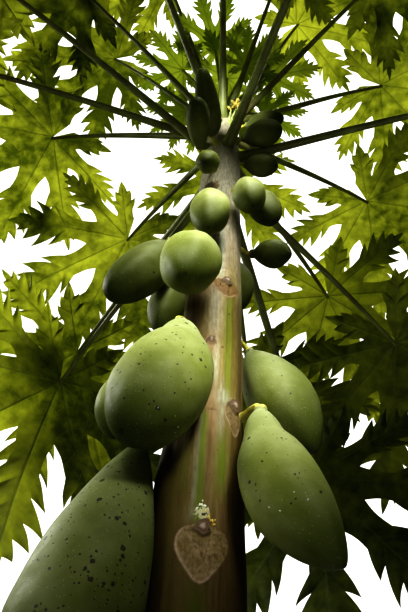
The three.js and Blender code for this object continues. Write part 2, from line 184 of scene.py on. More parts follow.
# Trunk. The one bare, soft-wooded stem, flared at the foot and cut flat at the ground, with
# shield-shaped scars where old leaves fell, a bud scar over each, and streaked, pitted bark.
# Bearings are 0 to -Y and 90 to +X; the radii are given by height.
TRUNK_TOP = 2.985
TRUNK_RADII = ((0, 0.098), (0.06, 0.088), (0.2, 0.075), (0.5, 0.066), (1.0, 0.060),
               (1.7, 0.052), (2.2, 0.046), (2.7, 0.043), (2.9, 0.034), (TRUNK_TOP, 0.024))
TRUNK_SIDES = 180
# How strongly the columns of points gather at the front, and the bearing on which they do.
FRONT_GATHER = 0.5
FRONT_BEARING = 12
# Stretches of the trunk by height, from, to, and the spacing of their rings.
RING_STRETCHES = ((0, 1.45, 0.03), (1.45, 1.672, 0.004), (1.672, 1.782, 0.0012), (1.782, 1.86, 0.004),
                  (1.86, 1.97, 0.002), (1.97, 2.15, 0.004), (2.15, 2.22, 0.002), (2.22, 2.35, 0.004),
                  (2.35, TRUNK_TOP, 0.012))
LAST_RING_GAP = 0.004
ROOT_RIDGES = 5
ROOT_RIDGE_DEPTH = 0.1
ROOT_RIDGE_FADE = 0.11
NODE_SWELL = 0.012
NODE_SPACING = 0.17
# Swelling on the left, where the stalk of the largest fruit is rooted.
BULGE = 0.0095
BULGE_HEIGHT = 1.815
BULGE_BEARING = -82
BULGE_SPREAD = (0.075, 0.75)
# Scars that show from the front: height, bearing, half width, half height, radius of the bud scar
# over it, and how fresh it is.
FRONT_SCARS = ((1.7195, 2, 0.0290, 0.0325, 0.0082, 0), (1.909, 44, 0.0155, 0.0275, 0.0095, 0.12),
               (2.172, 25, 0.0255, 0.0215, 0.0085, 1), (2.037, 0, 0.0085, 0.0080, 0.0060, 0.3))
SCAR_HALF_WIDTH = 0.0265
SCAR_HALF_HEIGHT = 0.034
SCAR_BUD_RADIUS = 0.0075
SCAR_TURN = 137.5
SCAR_STEP = 0.083
SCAR_FIRST = 0.34
SCAR_LAST = 2.68
# The size of the spiral's scars: the smallest, how much larger the others are, how fast it changes.
SCAR_SIZE = 0.7
SCAR_SIZE_MORE = 0.25
SCAR_SIZE_CHANGE = 2.3
# Stretch of the front that bears no other scars, and how far it reaches to each side.
BARE_FROM = 1.5
BARE_TO = 2.35
BARE_TURN = 95
# Half outline of a shield: height and half width, in parts of its own.
SHIELD_OUTLINE = ((-1, 0), (-0.96, 0.15), (-0.86, 0.27), (-0.55, 0.52), (-0.15, 0.80), (0.15, 0.95),
                  (0.4, 1.0), (0.62, 0.97), (0.82, 0.84), (0.94, 0.58), (1, 0.3))
# Relief of a scar: its mound, sunken face and raised rim, and the bud scar with its groove and core.
MOUND_LIFT = 0.0026
FACE_DEPTH = 0.0006
RIM_LIFT = 0.0010
BUD_LIFT = 0.0028
GROOVE_DEPTH = 0.0012
CORE_LIFT = 0.0007
# Where a scar's face fades in from its outline, and its bud scar and core by the bud scar's radius.
FACE_EDGE = (-0.01, 0.05)
BUD_EDGE = (1.1, 0.85)
CORE_EDGE = (0.42, 0.22)
# Place and width of the rim and of the groove, the bud scar's place over the middle, the mound's width.
RIM_RING = (0.06, 0.055)
GROOVE_RING = (0.66, 0.13)
BUD_PLACE = 0.88
MOUND_WIDTH = 2.2
# A scar is worked out this far round it: in parts of its half height, and in radians.
SCAR_WINDOW = (3, 1.7)
# Unevenness of the bark, of a scar's face and of the crust: depth, scale of the noise, its offset.
BARK_WAVES = ((0.0007, (7, 7, 1.6), 0), (0.0004, (16, 16, 5), 4.0))
FACE_WAVES = (0.0012, (14, 14, 260), 9.0)
CRUST_WAVES = (0.5, (22, 22, 420), 3.0)
# Dried sap that crusts the bark over the largest scar: place, half spread in degrees and metres.
CRUST_HEIGHT = 1.766
CRUST_BEARING = 1
CRUST_SPREAD = (9, 0.009)
CRUST_EDGE = (0.38, 0.60)
CRUST_LIFT = 0.0010
CREASE_DEPTH = 0.0009
# The scars and streaks fade out over this height under the growing tip.
TOP_FADE = 0.04
# Streaks that run with the bark: bearing, half width in degrees, between which heights, how softly
# they end, and their strength. The dark ones are painted shade down the sides of the trunk. The
# crease is the short one beside the second scar, its hollow painted in shade.
BARK_STREAKS = {
    "green": ((-4, 4, 1.75, 1.91, 0.01, 1), (0, 12, 1.2, 1.678, 0.03, 1), (-27, 6, 1.8, 1.95, 0.03, 0.4),
              (31, 6, 1.95, 2.15, 0.03, 0.8), (24, 8, 1.80, 1.87, 0.03, 1)),
    "pale": ((-10, 4.5, 1.765, 1.95, 0.03, 1), (10, 5, 1.96, 2.05, 0.03, 0.8), (5, 10, 2.06, 2.16, 0.03, 1),
             (10, 9, 2.2, 2.5, 0.03, 1), (-8, 9, 1.757, 1.775, 0.008, 1), (24, 13, 1.925, 1.955, 0.01, 1),
             (20, 6, 1.87, 1.97, 0.03, 0.7)),
    "olive": ((40, 15, 1.85, 2.25, 0.1, 1), (-50, 22, 1.3, 1.9, 0.1, 0.8)),
    "dark": ((68, 26, 1.55, 1.93, 0.05, 1), (-68, 34, 1.55, 1.95, 0.05, 1), (62, 16, 1.93, 2.16, 0.03, 0.5),
             (-42, 18, 2.03, 2.2, 0.03, 0.7)),
    "crease": ((6, 6, 1.913, 1.915, 0.0015, 1),)}
# Streaks sway round the trunk by up to this many degrees.
STREAK_SWAY = 4
SWAY_HEIGHTS = np.linspace(0, TRUNK_TOP, 60)


def bearing(degrees):
    angle = math.radians(degrees)
    return Vector((math.sin(angle), -math.cos(angle), 0))


def trunk_radius(height):
    return np.interp(height, *zip(*TRUNK_RADII))


def away_from(middle, angles):
    """Angles from a bearing, in radians, each the shorter way round."""
    return (angles - math.radians(middle - 90) + math.pi) % (2 * math.pi) - math.pi


def leaf_scars():
    """Rows of every scar: those seen in front, and the spiral between them."""
    scars = list(FRONT_SCARS)
    for index in range(int((SCAR_LAST - SCAR_FIRST) / SCAR_STEP)):
        height = SCAR_FIRST + index * SCAR_STEP
        turn = (index * SCAR_TURN) % 360
        in_front = abs((turn + 180) % 360 - 180) < BARE_TURN
        if not (in_front and BARE_FROM < height < BARE_TO):
            size = SCAR_SIZE + SCAR_SIZE_MORE * math.sin(index * SCAR_SIZE_CHANGE) ** 2
            scars.append((height, turn, SCAR_HALF_WIDTH * size, SCAR_HALF_HEIGHT * size,
                          SCAR_BUD_RADIUS * size, 0))
    return scars


def smooth_step(low, high, value):
    part = np.clip((value - low) / (high - low), 0, 1)
    return part * part * (3 - 2 * part)


def waves(points, depth, scale, offset):
    """Smooth noise at each point, as deep as is asked."""
    shift = Vector((offset, offset * 1.7, -offset))
    return depth * np.array([noise.noise(Vector(point) + shift) for point in points * np.array(scale)])


def scar_relief(angles, heights, radii):
    """Shields, rims and bud scars: lift in metres, and masks for the bark's colours."""
    lift = np.zeros_like(angles)
    masks = {key: np.zeros_like(angles) for key in ("shield", "rim", "bud", "core", "fresh")}
    for height, turn, half_width, half_height, bud_radius, fresh in leaf_scars():
        away = away_from(turn, angles)
        close = np.abs(heights - height) < SCAR_WINDOW[0] * half_height
        near = np.nonzero(close & (np.abs(away) < SCAR_WINDOW[1]))[0]
        aside = away[near] * radii[near]
        x, y = aside / half_width, (heights[near] - height) / half_height
        inside = np.minimum(np.interp(y, *zip(*SHIELD_OUTLINE)) - np.abs(x), (1 - np.abs(y)) * 1.2)
        over = heights[near] - height - BUD_PLACE * half_height
        way = np.arctan2(over, aside)
        uneven = 1 + 0.14 * np.sin(3 * way + 1.2) + 0.09 * np.sin(5 * way)
        ring = np.hypot(aside, 0.8 * over) / bud_radius * uneven
        bud = smooth_step(*BUD_EDGE, ring)
        core = smooth_step(*CORE_EDGE, ring)
        face = smooth_step(*FACE_EDGE, inside) * (1 - bud)
        edge = np.exp(-((inside - RIM_RING[0]) / RIM_RING[1]) ** 2) * (1 - bud)
        edge = edge * smooth_step(0.9, -0.5, x + 0.7 * y)
        found = {"shield": face, "rim": edge, "bud": bud, "core": core, "fresh": face * fresh}
        for key, value in found.items():
            masks[key][near] = np.maximum(masks[key][near], value)
        mound = MOUND_LIFT * np.exp(-(x ** 2 + y ** 2) / MOUND_WIDTH) - FACE_DEPTH * face + RIM_LIFT * edge
        groove = GROOVE_DEPTH * np.exp(-((ring - GROOVE_RING[0]) / GROOVE_RING[1]) ** 2)
        folds = BUD_LIFT * bud - groove + CORE_LIFT * core
        lift[near] += mound * half_width / SCAR_HALF_WIDTH + folds * bud_radius / SCAR_BUD_RADIUS
    return lift, masks


def bark_bands(angles, heights):
    """How strongly each kind of streak shows at each place on the bark."""
    swaying = [STREAK_SWAY * noise.noise(Vector((0, 3, 5 * height))) for height in SWAY_HEIGHTS]
    turn = (np.degrees(angles) + 270 - np.interp(heights, SWAY_HEIGHTS, swaying)) % 360 - 180
    bands = {band: np.zeros_like(angles) for band in BARK_STREAKS}
    for band, rows in BARK_STREAKS.items():
        for middle, width, low, high, fade, strength in rows:
            below = smooth_step(low - fade, low + fade, heights)
            above = smooth_step(high + fade, high - fade, heights)
            streak = strength * np.exp(-((turn - middle) / width) ** 2) * below * above
            bands[band] = np.maximum(bands[band], streak)
    return bands


def trunk_heights():
    heights = np.concatenate([np.arange(*stretch) for stretch in RING_STRETCHES])
    return np.append(heights[heights < TRUNK_TOP - LAST_RING_GAP], TRUNK_TOP)


def tube_faces(rings, sides):
    """Quads of a skin over rings of equal count, and the two end faces."""
    faces = []
    for ring in range(rings - 1):
        for side in range(sides):
            a = ring * sides + side
            b = ring * sides + (side + 1) % sides
            faces.append((a, b, b + sides, a + sides))
    faces.append(tuple(range(sides - 1, -1, -1)))
    faces.append(tuple(range((rings - 1) * sides, rings * sides)))
    return faces


def add_piece(name, mesh, finish):
    mesh.materials.append(finish)
    mesh.shade_smooth()
    return new_object(name, mesh)


def store_mask(mesh, name, values):
    mesh.attributes.new(name, "FLOAT", "POINT").data.foreach_set("value", np.asarray(values, np.float32))


def make_trunk_mesh():
    rows = trunk_heights()
    turns = full_turn(TRUNK_SIDES)
    turns = turns - FRONT_GATHER * np.sin(turns - math.radians(FRONT_BEARING - 90))
    heights, angles = (a.ravel() for a in np.meshgrid(rows, turns, indexing="ij"))
    ridge = ROOT_RIDGE_DEPTH * np.exp(-heights / ROOT_RIDGE_FADE) * np.cos(ROOT_RIDGES * angles)
    swell = NODE_SWELL * (np.cos(2 * np.pi * heights / NODE_SPACING) - 1)
    radii = trunk_radius(heights) * (1 + ridge + swell)
    lift, masks = scar_relief(angles, heights, radii)
    masks.update(bark_bands(angles, heights))
    around = np.column_stack([np.cos(angles), np.sin(angles), heights])
    beyond = np.degrees(away_from(CRUST_BEARING, angles))
    near = (beyond / CRUST_SPREAD[0]) ** 2 + ((heights - CRUST_HEIGHT) / CRUST_SPREAD[1]) ** 2
    masks["crust"] = smooth_step(*CRUST_EDGE, np.exp(-near) + waves(around, *CRUST_WAVES))
    lift += CRUST_LIFT * masks["crust"] - CREASE_DEPTH * masks["crease"]
    lift += masks["shield"] * waves(around, *FACE_WAVES)
    for row in BARK_WAVES:
        lift += waves(around, *row)
    near = ((heights - BULGE_HEIGHT) / BULGE_SPREAD[0]) ** 2
    lift += BULGE * np.exp(-near - (away_from(BULGE_BEARING, angles) / BULGE_SPREAD[1]) ** 2)
    radii += lift * smooth_step(TRUNK_TOP, TRUNK_TOP - TOP_FADE, heights)
    points = np.column_stack([radii * np.cos(angles), radii * np.sin(angles), heights])
    mesh = new_mesh("trunk_bark", points, tube_faces(len(rows), TRUNK_SIDES))
    for key, value in masks.items():
        store_mask(mesh, key, value)
    return mesh


def place_on(tree, stretch=(1, 1, 1), shift=(0, 0, 0)):
    """The piece's own coordinates in metres; a small stretch draws a pattern out along that axis."""
    place = add_node(tree, "ShaderNodeTexCoord").outputs["Object"]
    return add_node(tree, "ShaderNodeMapping", {0: place, 1: shift, 3: stretch}).outputs[0]


def noise_at(tree, where, scale, detail, rough=0.55):
    values = {0: where, "Scale": scale, "Detail": detail, "Roughness": rough}
    return add_node(tree, "ShaderNodeTexNoise", values).outputs["Fac"]


def cloud(tree, scale, detail, stretch=(1, 1, 1), shift=(0, 0, 0)):
    return noise_at(tree, place_on(tree, stretch, shift), scale, detail)


def colours(tree, value, stops):
    made = add_node(tree, "ShaderNodeValToRGB", {0: value})
    ramp = made.color_ramp
    while len(ramp.elements) < len(stops):
        ramp.elements.new(0.5)
    for element, (place, colour) in zip(ramp.elements, stops):
        element.position = place
        element.color = (*colour, 1)
    return made.outputs[0]


def mixed(tree, part, first, second):
    """A colour between two, each a socket or an RGB triple."""
    ends = [c if isinstance(c, bpy.types.NodeSocket) else (*c, 1) for c in (first, second)]
    return add_node(tree, "ShaderNodeMix", {0: part, 6: ends[0], 7: ends[1]}, data_type="RGBA").outputs[2]


def coated(tree, tone, coats):
    """A tone under coats of other colours, each given by how much of it shows and its colour."""
    for part, colour in coats:
        tone = mixed(tree, part, tone, colour)
    return tone


def arithmetic(tree, kind, first, second=0.0):
    return add_node(tree, "ShaderNodeMath", {0: first, 1: second}, operation=kind).outputs[0]


def times(tree, first, second):
    return arithmetic(tree, "MULTIPLY", first, second)


def mask(tree, name, most=1.0):
    return times(tree, add_node(tree, "ShaderNodeAttribute", attribute_name=name).outputs["Fac"], most)


def dots(tree, where, scale, chosen, low, high):
    """Round dots in a part of the cells of a cellular pattern: 1 inside, 0 outside."""
    cells = add_node(tree, "ShaderNodeTexVoronoi", {0: where, "Scale": scale})
    pick = add_node(tree, "ShaderNodeSeparateColor", {0: cells.outputs["Color"]})
    size = span(tree, pick.outputs[1], 0, 1, low, high)
    inside = span(tree, arithmetic(tree, "SUBTRACT", size, cells.outputs["Distance"]), 0, 0.06)
    return times(tree, inside, arithmetic(tree, "LESS_THAN", pick.outputs[0], chosen))


def wobbled(tree, where, scale, amount):
    """Coordinates shaken a little, so that what they place is irregular."""
    moved = add_node(tree, "ShaderNodeTexNoise", {0: where, "Scale": scale, "Detail": 1.0}).outputs["Color"]
    steps = (("SUBTRACT", {1: (0.5, 0.5, 0.5)}), ("SCALE", {"Scale": amount}), ("ADD", {1: where}))
    for kind, values in steps:
        moved = add_node(tree, "ShaderNodeVectorMath", {0: moved, **values}, operation=kind).outputs[0]
    return moved


def raised(tree, shader, height, depth, strength):
    bump = add_node(tree, "ShaderNodeBump", {"Height": height, "Distance": depth, "Strength": strength})
    fill(tree, shader, {"Normal": bump.outputs[0]})


def make_bark():
    bark, tree, shader = new_material("streaked_bark")
    streaks = cloud(tree, 62, 4, (1, 1, 0.05))
    broad = cloud(tree, 17, 2, (1, 1, 0.12), (3, 1, 2))
    grain = cloud(tree, 260, 3, (1, 1, 0.22))
    patch = cloud(tree, 60, 2, shift=(2, 2, 2))
    squat = place_on(tree, (1, 1, 0.6))
    height = add_node(tree, "ShaderNodeSeparateXYZ", {0: place_on(tree)}).outputs[2]
    worn = span(tree, streaks, 0.36, 0.60, 0.45, 1)
    # Painted shade: the green streaks darken below 1.85 m, in the shade of the fruit above.
    verdant = mixed(tree, span(tree, height, 1.85, 1.70), (0.125, 0.175, 0.014), (0.070, 0.095, 0.006))
    face = noise_at(tree, wobbled(tree, squat, 90, 0.02), 210, 5, 0.7)
    shield = mixed(tree, span(tree, face, 0.36, 0.68), (0.118, 0.090, 0.038), (0.290, 0.225, 0.128))
    shield = coated(tree, shield, ((span(tree, patch, 0.45, 0.65, 0, 0.6), (0.150, 0.115, 0.035)),
                                   (mask(tree, "fresh"), (0.188, 0.126, 0.051))))
    pits = dots(tree, wobbled(tree, squat, 300, 0.003), 130, 0.30, 0.06, 0.20)
    tone = colours(tree, streaks, ((0.30, (0.062, 0.040, 0.012)), (0.42, (0.17, 0.115, 0.045)),
                                   (0.50, (0.27, 0.195, 0.100)), (0.58, (0.21, 0.170, 0.060)),
                                   (0.70, (0.35, 0.290, 0.180))))
    tone = coated(tree, tone, (
        (span(tree, broad, 0.50, 0.68, 0, 0.7), (0.185, 0.175, 0.055)),
        # Painted light: the bark pales above 2.1 m, for the strong light on the upper trunk.
        (span(tree, height, 2.10, 2.50, 0, 0.8), (0.53, 0.52, 0.41)),
        (times(tree, worn, mask(tree, "olive", 0.8)), (0.165, 0.160, 0.016)),
        (times(tree, worn, mask(tree, "pale", 0.95)), (0.37, 0.390, 0.285)),
        (span(tree, grain, 0.35, 0.65, 0, 0.45), (0.14, 0.098, 0.038)),
        # Painted shade: the bark darkens below 1.9 m, in the shade of the fruit above.
        (span(tree, height, 1.90, 1.72, 0, 0.64), (0.050, 0.034, 0.005)),
        # Painted shade down the sides of the trunk.
        (mask(tree, "dark", 0.8), (0.034, 0.026, 0.006)),
        (mask(tree, "green", 0.85), verdant),
        (span(tree, height, 1.60, 1.10, 0, 0.75), (0.23, 0.19, 0.12)),
        # Painted shade in the hollow of the crease beside the second scar.
        (mask(tree, "crease", 0.75), (0.10, 0.045, 0.020)),
        (mask(tree, "shield"), shield),
        (times(tree, mask(tree, "rim"), span(tree, patch, 0.35, 0.6, 0.25, 0.8)), (0.38, 0.29, 0.22)),
        (mask(tree, "bud", 0.9), (0.130, 0.090, 0.058)),
        (mask(tree, "core", 0.6), (0.40, 0.34, 0.28)),
        (mask(tree, "crust", 0.85), (0.42, 0.41, 0.25)),
        (times(tree, pits, 0.85), (0.04, 0.028, 0.015))))
    fill(tree, shader, {"Base Color": tone, "Roughness": 0.7, "Specular IOR Level": 0.14})
    relief = arithmetic(tree, "ADD", times(tree, streaks, 0.6), times(tree, grain, 0.35))
    raised(tree, shader, arithmetic(tree, "SUBTRACT", relief, times(tree, pits, 0.8)), 0.0022, 0.8)
    return bark


trunk_bark = add_piece("trunk_bark", make_trunk_mesh(), make_bark())
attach(trunk_bark, "root")
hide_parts("trunk")

# Fruit. Firm unripe papayas, each hung from the trunk by its own short bent stalk: green waxy
# skin with five faint ribs, paler shoulders that are partly painted light on the tops, painted shade
# darkening towards the blossom end, brown specks, and a small pit at the blossom end.
# Height of its top, bearing, distance from the bark, rise of the stalk's root over the top, tilt
# and bearing of the tilt, length, width, place of the widest part, belly, the powers that hold
# the neck narrow and the tip blunt, how far a bottle-shaped neck is drawn in, amount of brown specks.
FRUIT_ROWS = (
    (1.879, -71, 0.032, 0.022, 11, -107, 0.366, 0.133, 0.62, 0.002, 0.8, 0.9, 0, 0.85),
    (2.024, -24, 0.058, -0.006, 14, -73, 0.211, 0.117, 0.6, -0.018, 0.66, 0.4, 0.13, 0.2),
    (2.050, -104, 0.055, 0.020, 10, -92, 0.134, 0.079, 0.58, 0.007, 0.7, 0.7, 0, 0.1),
    (1.893, 40, 0.050, 0.034, 20, 64, 0.223, 0.088, 0.55, -0.019, 0.62, 0.66, 0.17, 0.16),
    (2.120, 125, 0.028, 0.010, 26, 95, 0.208, 0.100, 0.54, 0, 0.7, 0.6, 0, 0.04),
    (2.345, -83, 0.041, 0.020, 30, -94, 0.184, 0.086, 0.57, -0.012, 0.85, 0.39, 0, 0.04),
    (2.220, -21, 0.054, 0.014, 18, -6, 0.152, 0.093, 0.5, -0.008, 0.62, 0.52, 0, 0.06),
    (2.310, -124, 0.044, 0.016, 8, -126, 0.138, 0.066, 0.54, 0, 0.7, 0.55, 0, 0),
    (2.400, -9, 0.040, 0.016, 6, -9, 0.140, 0.071, 0.53, 0, 0.75, 0.5, 0, 0),
    (2.485, 37, 0.036, 0.014, 10, 45, 0.112, 0.064, 0.53, 0, 0.7, 0.55, 0, 0),
    (2.530, 76, 0.033, 0.014, 15, 75, 0.125, 0.063, 0.53, 0, 0.7, 0.55, 0, 0),
    (2.361, 105, 0.024, 0.006, 61, 64, 0.088, 0.055, 0.54, 0.003, 0.83, 0.8, 0, 0),
    (2.410, 153, 0.036, 0.014, 6, 150, 0.135, 0.071, 0.53, 0, 0.7, 0.55, 0, 0),
    (2.560, -17, 0.030, 0.012, 25, -17, 0.080, 0.047, 0.53, 0, 0.62, 0.5, 0, 0),
    (2.653, -42, 0.032, 0.006, 77, -3, 0.123, 0.051, 0.6, -0.001, 0.55, 0.44, 0, 0),
    (2.699, -21, 0.027, 0.006, 88, -10, 0.149, 0.054, 0.46, -0.022, 0.44, 0.34, 0, 0),
    (2.738, 47, 0.022, 0.004, 70, 62, 0.100, 0.062, 0.55, 0, 0.62, 0.5, 0, 0),
    (2.850, 64, 0.026, 0.004, 76, 68, 0.097, 0.050, 0.55, 0, 0.62, 0.5, 0, 0),
    (2.676, 80, 0.010, 0.004, 72, 80, 0.078, 0.054, 0.54, 0, 0.6, 0.5, 0, 0),
    (2.230, 176, 0.048, 0.018, 8, 176, 0.175, 0.104, 0.54, 0, 0.7, 0.55, 0, 0.08),
)
# How deep each fruit's green is, from pale to the deepest: partly each fruit's own tone, and partly
# painted shade on the fruits that hang in the shade of others.
FRUIT_GREENS_AND_SHADES = (0.5, 0, 0.3, 0, 0.5, 0.5, 0, 0.4, 0, 0, 0.2, 0.8, 0.3, 0.1, 0.5, 0.5, 0.4, 0.5, 0.4, 0.2)
FRUIT_SIDES = 50
FRUIT_RINGS = 54
FRUIT_RIBS = 5
# Each fruit's lumps and ribs differ from the one's before it by this much.
FRUIT_CHANGE = 1.3
FRUIT_STALK_RADIUS = 0.0042
FRUIT_STALK_RINGS = 16
STALK_START_RISE = 0.35
STALK_SINK = 0.004
# How much wider the stalk is where it meets the bark and where it holds the fruit, and the least
# radius of the shoulders, each with how far it reaches in parts of the stalk or the fruit.
STALK_ROOT_FLARE = (0.0040, 0.10)
CALYX_FLARE = (0.0026, 0.08)
SHOULDER_RADIUS = (0.0085, 0.3)
# The pit at the blossom end, from its rim to its bottom.
PIT_RADII = (0.0042, 0.001)
# Scale of the patches in which the specks stand; how many stand there, how many fewer at the tip,
# and how much the patches change that.
SPECK_PATCHES = 14
SPECK_FADES = (1.1, 0.9, 0.5)
# Depth of the ribs near the stalk and what the tip adds, and those of the stalk and its end.
RIB_DEPTH = 0.008
RIB_TIP_DEPTH = 0.055
STALK_RIB_DEPTH = 0.06
CALYX_RIB_DEPTH = 0.2
# Lumps of the flesh: depth, scale along the fruit and round it, and which way they change.
FRUIT_LUMPS = ((0.038, 9, 1.4, Vector((1, 0, 0))), (0.014, 34, 4, Vector((0, 1, 0))))
TIP_RADIUS = 0.0004
# Fruit whose stalk is rooted to one side of it: height of its top, and by how many degrees.
ROOT_ASIDE = {1.893: 26}
NECK_PLACE = 0.2
NECK_SPREAD = 0.11


def fruit_shape(part, widest, neck, tip, drawn):
    rising = np.sin(np.pi / 2 * np.clip(part / widest, 0, 1)) ** neck
    rising = rising * (1 - drawn * np.exp(-((part - NECK_PLACE) / NECK_SPREAD) ** 2))
    falling = np.cos(np.pi / 2 * np.clip((part - widest) / (1 - widest), 0, 1)) ** tip
    return np.where(part < widest, rising, falling)


def bent_line(start, start_pull, end, end_pull, part):
    squared, cubed = part ** 2, part ** 3
    return (start * (2 * cubed - 3 * squared + 1) + start_pull * (cubed - 2 * squared + part)
            + end * (3 * squared - 2 * cubed) + end_pull * (cubed - squared))


def cross_sections(path, first_normal=None):
    """Across and up directions at each point of a path, turned as little as possible."""
    across, frames = None, []
    for index in range(len(path)):
        along = (path[min(index + 1, len(path) - 1)] - path[max(index - 1, 0)]).normalized()
        if index == 0 and first_normal is not None:
            along = first_normal
        if across is None:
            across = Vector((0, 0, 1)).cross(along).normalized()
        across = (across - along * across.dot(along)).normalized()
        frames.append((across, along.cross(across)))
    return frames


def fruit_line(row):
    """Centres of the rings from the bark to the blossom end, and each ring's part of the fruit."""
    height, turn, gap, rise, tilt, tilt_turn, length, _, _, belly = row[:10]
    out, lean = bearing(turn), bearing(tilt_turn)
    axis = lean * math.sin(math.radians(tilt)) + Vector((0, 0, -math.cos(math.radians(tilt))))
    rooted = bearing(turn + ROOT_ASIDE.get(height, 0))
    root = rooted * (trunk_radius(height + rise) - STALK_SINK)
    root.z = height + rise
    top = out * (trunk_radius(height) + gap)
    top.z = height
    start_pull = (rooted + Vector((0, 0, STALK_START_RISE))) * gap
    path, parts = [], []
    for ring in range(FRUIT_STALK_RINGS):
        path.append(bent_line(root, start_pull, top, axis * gap, ring / FRUIT_STALK_RINGS))
        parts.append(ring / FRUIT_STALK_RINGS - 1)
    for ring in range(FRUIT_RINGS + 1):
        part = (1 - math.cos(math.pi * ring / FRUIT_RINGS)) / 2
        path.append(top + axis * (length * part) + lean * (belly * 4 * part * (1 - part)))
        parts.append(part)
    return path, np.array(parts), rooted


def fruit_radii(row, parts):
    width, widest, neck, tip, drawn = row[7], row[8], *row[10:13]
    body = np.maximum(width / 2 * fruit_shape(np.clip(parts, 0, 1), widest, neck, tip, drawn), 0)
    onto_bark = STALK_ROOT_FLARE[0] * np.exp(-(parts + 1) / STALK_ROOT_FLARE[1])
    calyx = CALYX_FLARE[0] * np.exp(-(parts / CALYX_FLARE[1]) ** 2)
    stalk = FRUIT_STALK_RADIUS + onto_bark + calyx
    shoulders = SHOULDER_RADIUS[0] * (parts < SHOULDER_RADIUS[1])
    radii = np.where(parts < 0, stalk, np.maximum(body, shoulders))
    return np.where(parts >= 1, TIP_RADIUS, radii)


def make_fruit_mesh(name, row, green, change):
    path, parts, out = fruit_line(row)
    radii = fruit_radii(row, parts)
    turns = full_turn(FRUIT_SIDES)
    ribs = np.cos(FRUIT_RIBS * turns + change)
    points = []
    for centre, (across, up), part, radius in zip(path, cross_sections(path, out), parts, radii):
        if part >= 0:
            depth = (RIB_DEPTH + RIB_TIP_DEPTH * part ** 3) * np.sin(np.pi * min(part + 0.04, 1)) ** 0.5
        else:
            depth = STALK_RIB_DEPTH + CALYX_RIB_DEPTH * math.exp(-(part / 0.05) ** 2)
        for turn, rib in zip(turns, ribs):
            arm = across * math.cos(turn) + up * math.sin(turn)
            lump = 1
            for deep, along, round_it, way in FRUIT_LUMPS if part > 0 else ():
                lump += deep * noise.noise(centre * along + arm * round_it + way * change)
            points.append(centre + arm * (radius * (1 + rib * depth) * lump))
    mesh = new_mesh(name, points, tube_faces(len(path), FRUIT_SIDES))
    rings = np.repeat(parts, FRUIT_SIDES)
    patchy = [noise.noise(Vector(point) * SPECK_PATCHES + Vector((0, 0, change))) for point in points]
    most, by_tip, by_patch = SPECK_FADES
    specks = np.clip(most - rings * by_tip + by_patch * np.array(patchy), 0.1, 1)
    store_mask(mesh, "along", np.clip(rings, 0, 1))
    store_mask(mesh, "stalk", rings < 0.004)
    store_mask(mesh, "depth", np.full(len(rings), green))
    store_mask(mesh, "specks", row[13] * specks)
    store_mask(mesh, "pit", smooth_step(*PIT_RADII, np.repeat(radii, FRUIT_SIDES)) * (rings > 0.9))
    return mesh


def make_skin():
    skin, tree, shader = new_material("waxy_green_skin")
    along = mask(tree, "along")
    own = place_on(tree)
    patches = cloud(tree, 26, 3)
    wax = cloud(tree, 55, 4, shift=(0, 4, 1))
    fine = cloud(tree, 420, 2, shift=(3, 4, 1))
    stem = span(tree, cloud(tree, 90, 2, shift=(5, 0, 0)), 0.4, 0.62)
    tone = mixed(tree, span(tree, patches, 0.36, 0.66), (0.260, 0.300, 0.066), (0.375, 0.410, 0.156))
    tone = coated(tree, tone, (
        # Paler towards the stalk: partly the shoulders' own tone, partly painted light on the lit tops.
        (span(tree, along, 0.60, 0.05, 0, 0.45), (0.39, 0.43, 0.27)),
        # Painted shade: darker towards the blossom end, on the shaded undersides.
        (span(tree, along, 0.54, 1.0, 0, 0.9), (0.050, 0.070, 0.006)),
        # Deeper green on some fruits: partly their own tone, partly painted shade on those hanging in shade.
        (mask(tree, "depth"), (0.042, 0.055, 0.006)),
        (times(tree, dots(tree, own, 330, 0.55, 0.10, 0.30), 0.25), (0.50, 0.55, 0.21))))
    where = wobbled(tree, own, 240, 0.003)
    density = mask(tree, "specks")
    for scale, low, high in ((88, 0.10, 0.31), (190, 0.12, 0.30)):
        spots = times(tree, dots(tree, where, scale, density, low, high), 0.88)
        middles = dots(tree, where, scale, density, low - 0.13, high - 0.16)
        tone = coated(tree, tone, ((spots, (0.040, 0.030, 0.024)), (middles, (0.085, 0.080, 0.070))))
    tone = coated(tree, tone, (
        (mask(tree, "pit"), (0.05, 0.035, 0.02)),
        (mask(tree, "stalk"), mixed(tree, stem, (0.40, 0.40, 0.07), (0.60, 0.54, 0.15)))))
    fill(tree, shader, {"Base Color": tone, "Roughness": span(tree, wax, 0.35, 0.7, 0.50, 0.66),
                        "Specular IOR Level": 0.26})
    raised(tree, shader, arithmetic(tree, "ADD", times(tree, wax, 0.8), times(tree, fine, 0.12)), 0.0016, 0.7)
    return skin


green_skin = make_skin()
fruit_meshes = []
for index, (row, green) in enumerate(zip(FRUIT_ROWS, FRUIT_GREENS_AND_SHADES)):
    fruit_name = f"fruit_{index + 1:02d}"
    fruit_meshes.append(make_fruit_mesh(f"{fruit_name}_skin", row, green, FRUIT_CHANGE * index))
    fruit = add_piece(f"{fruit_name}_skin", fruit_meshes[-1], green_skin)
    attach(fruit, "root")
    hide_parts(fruit_name)

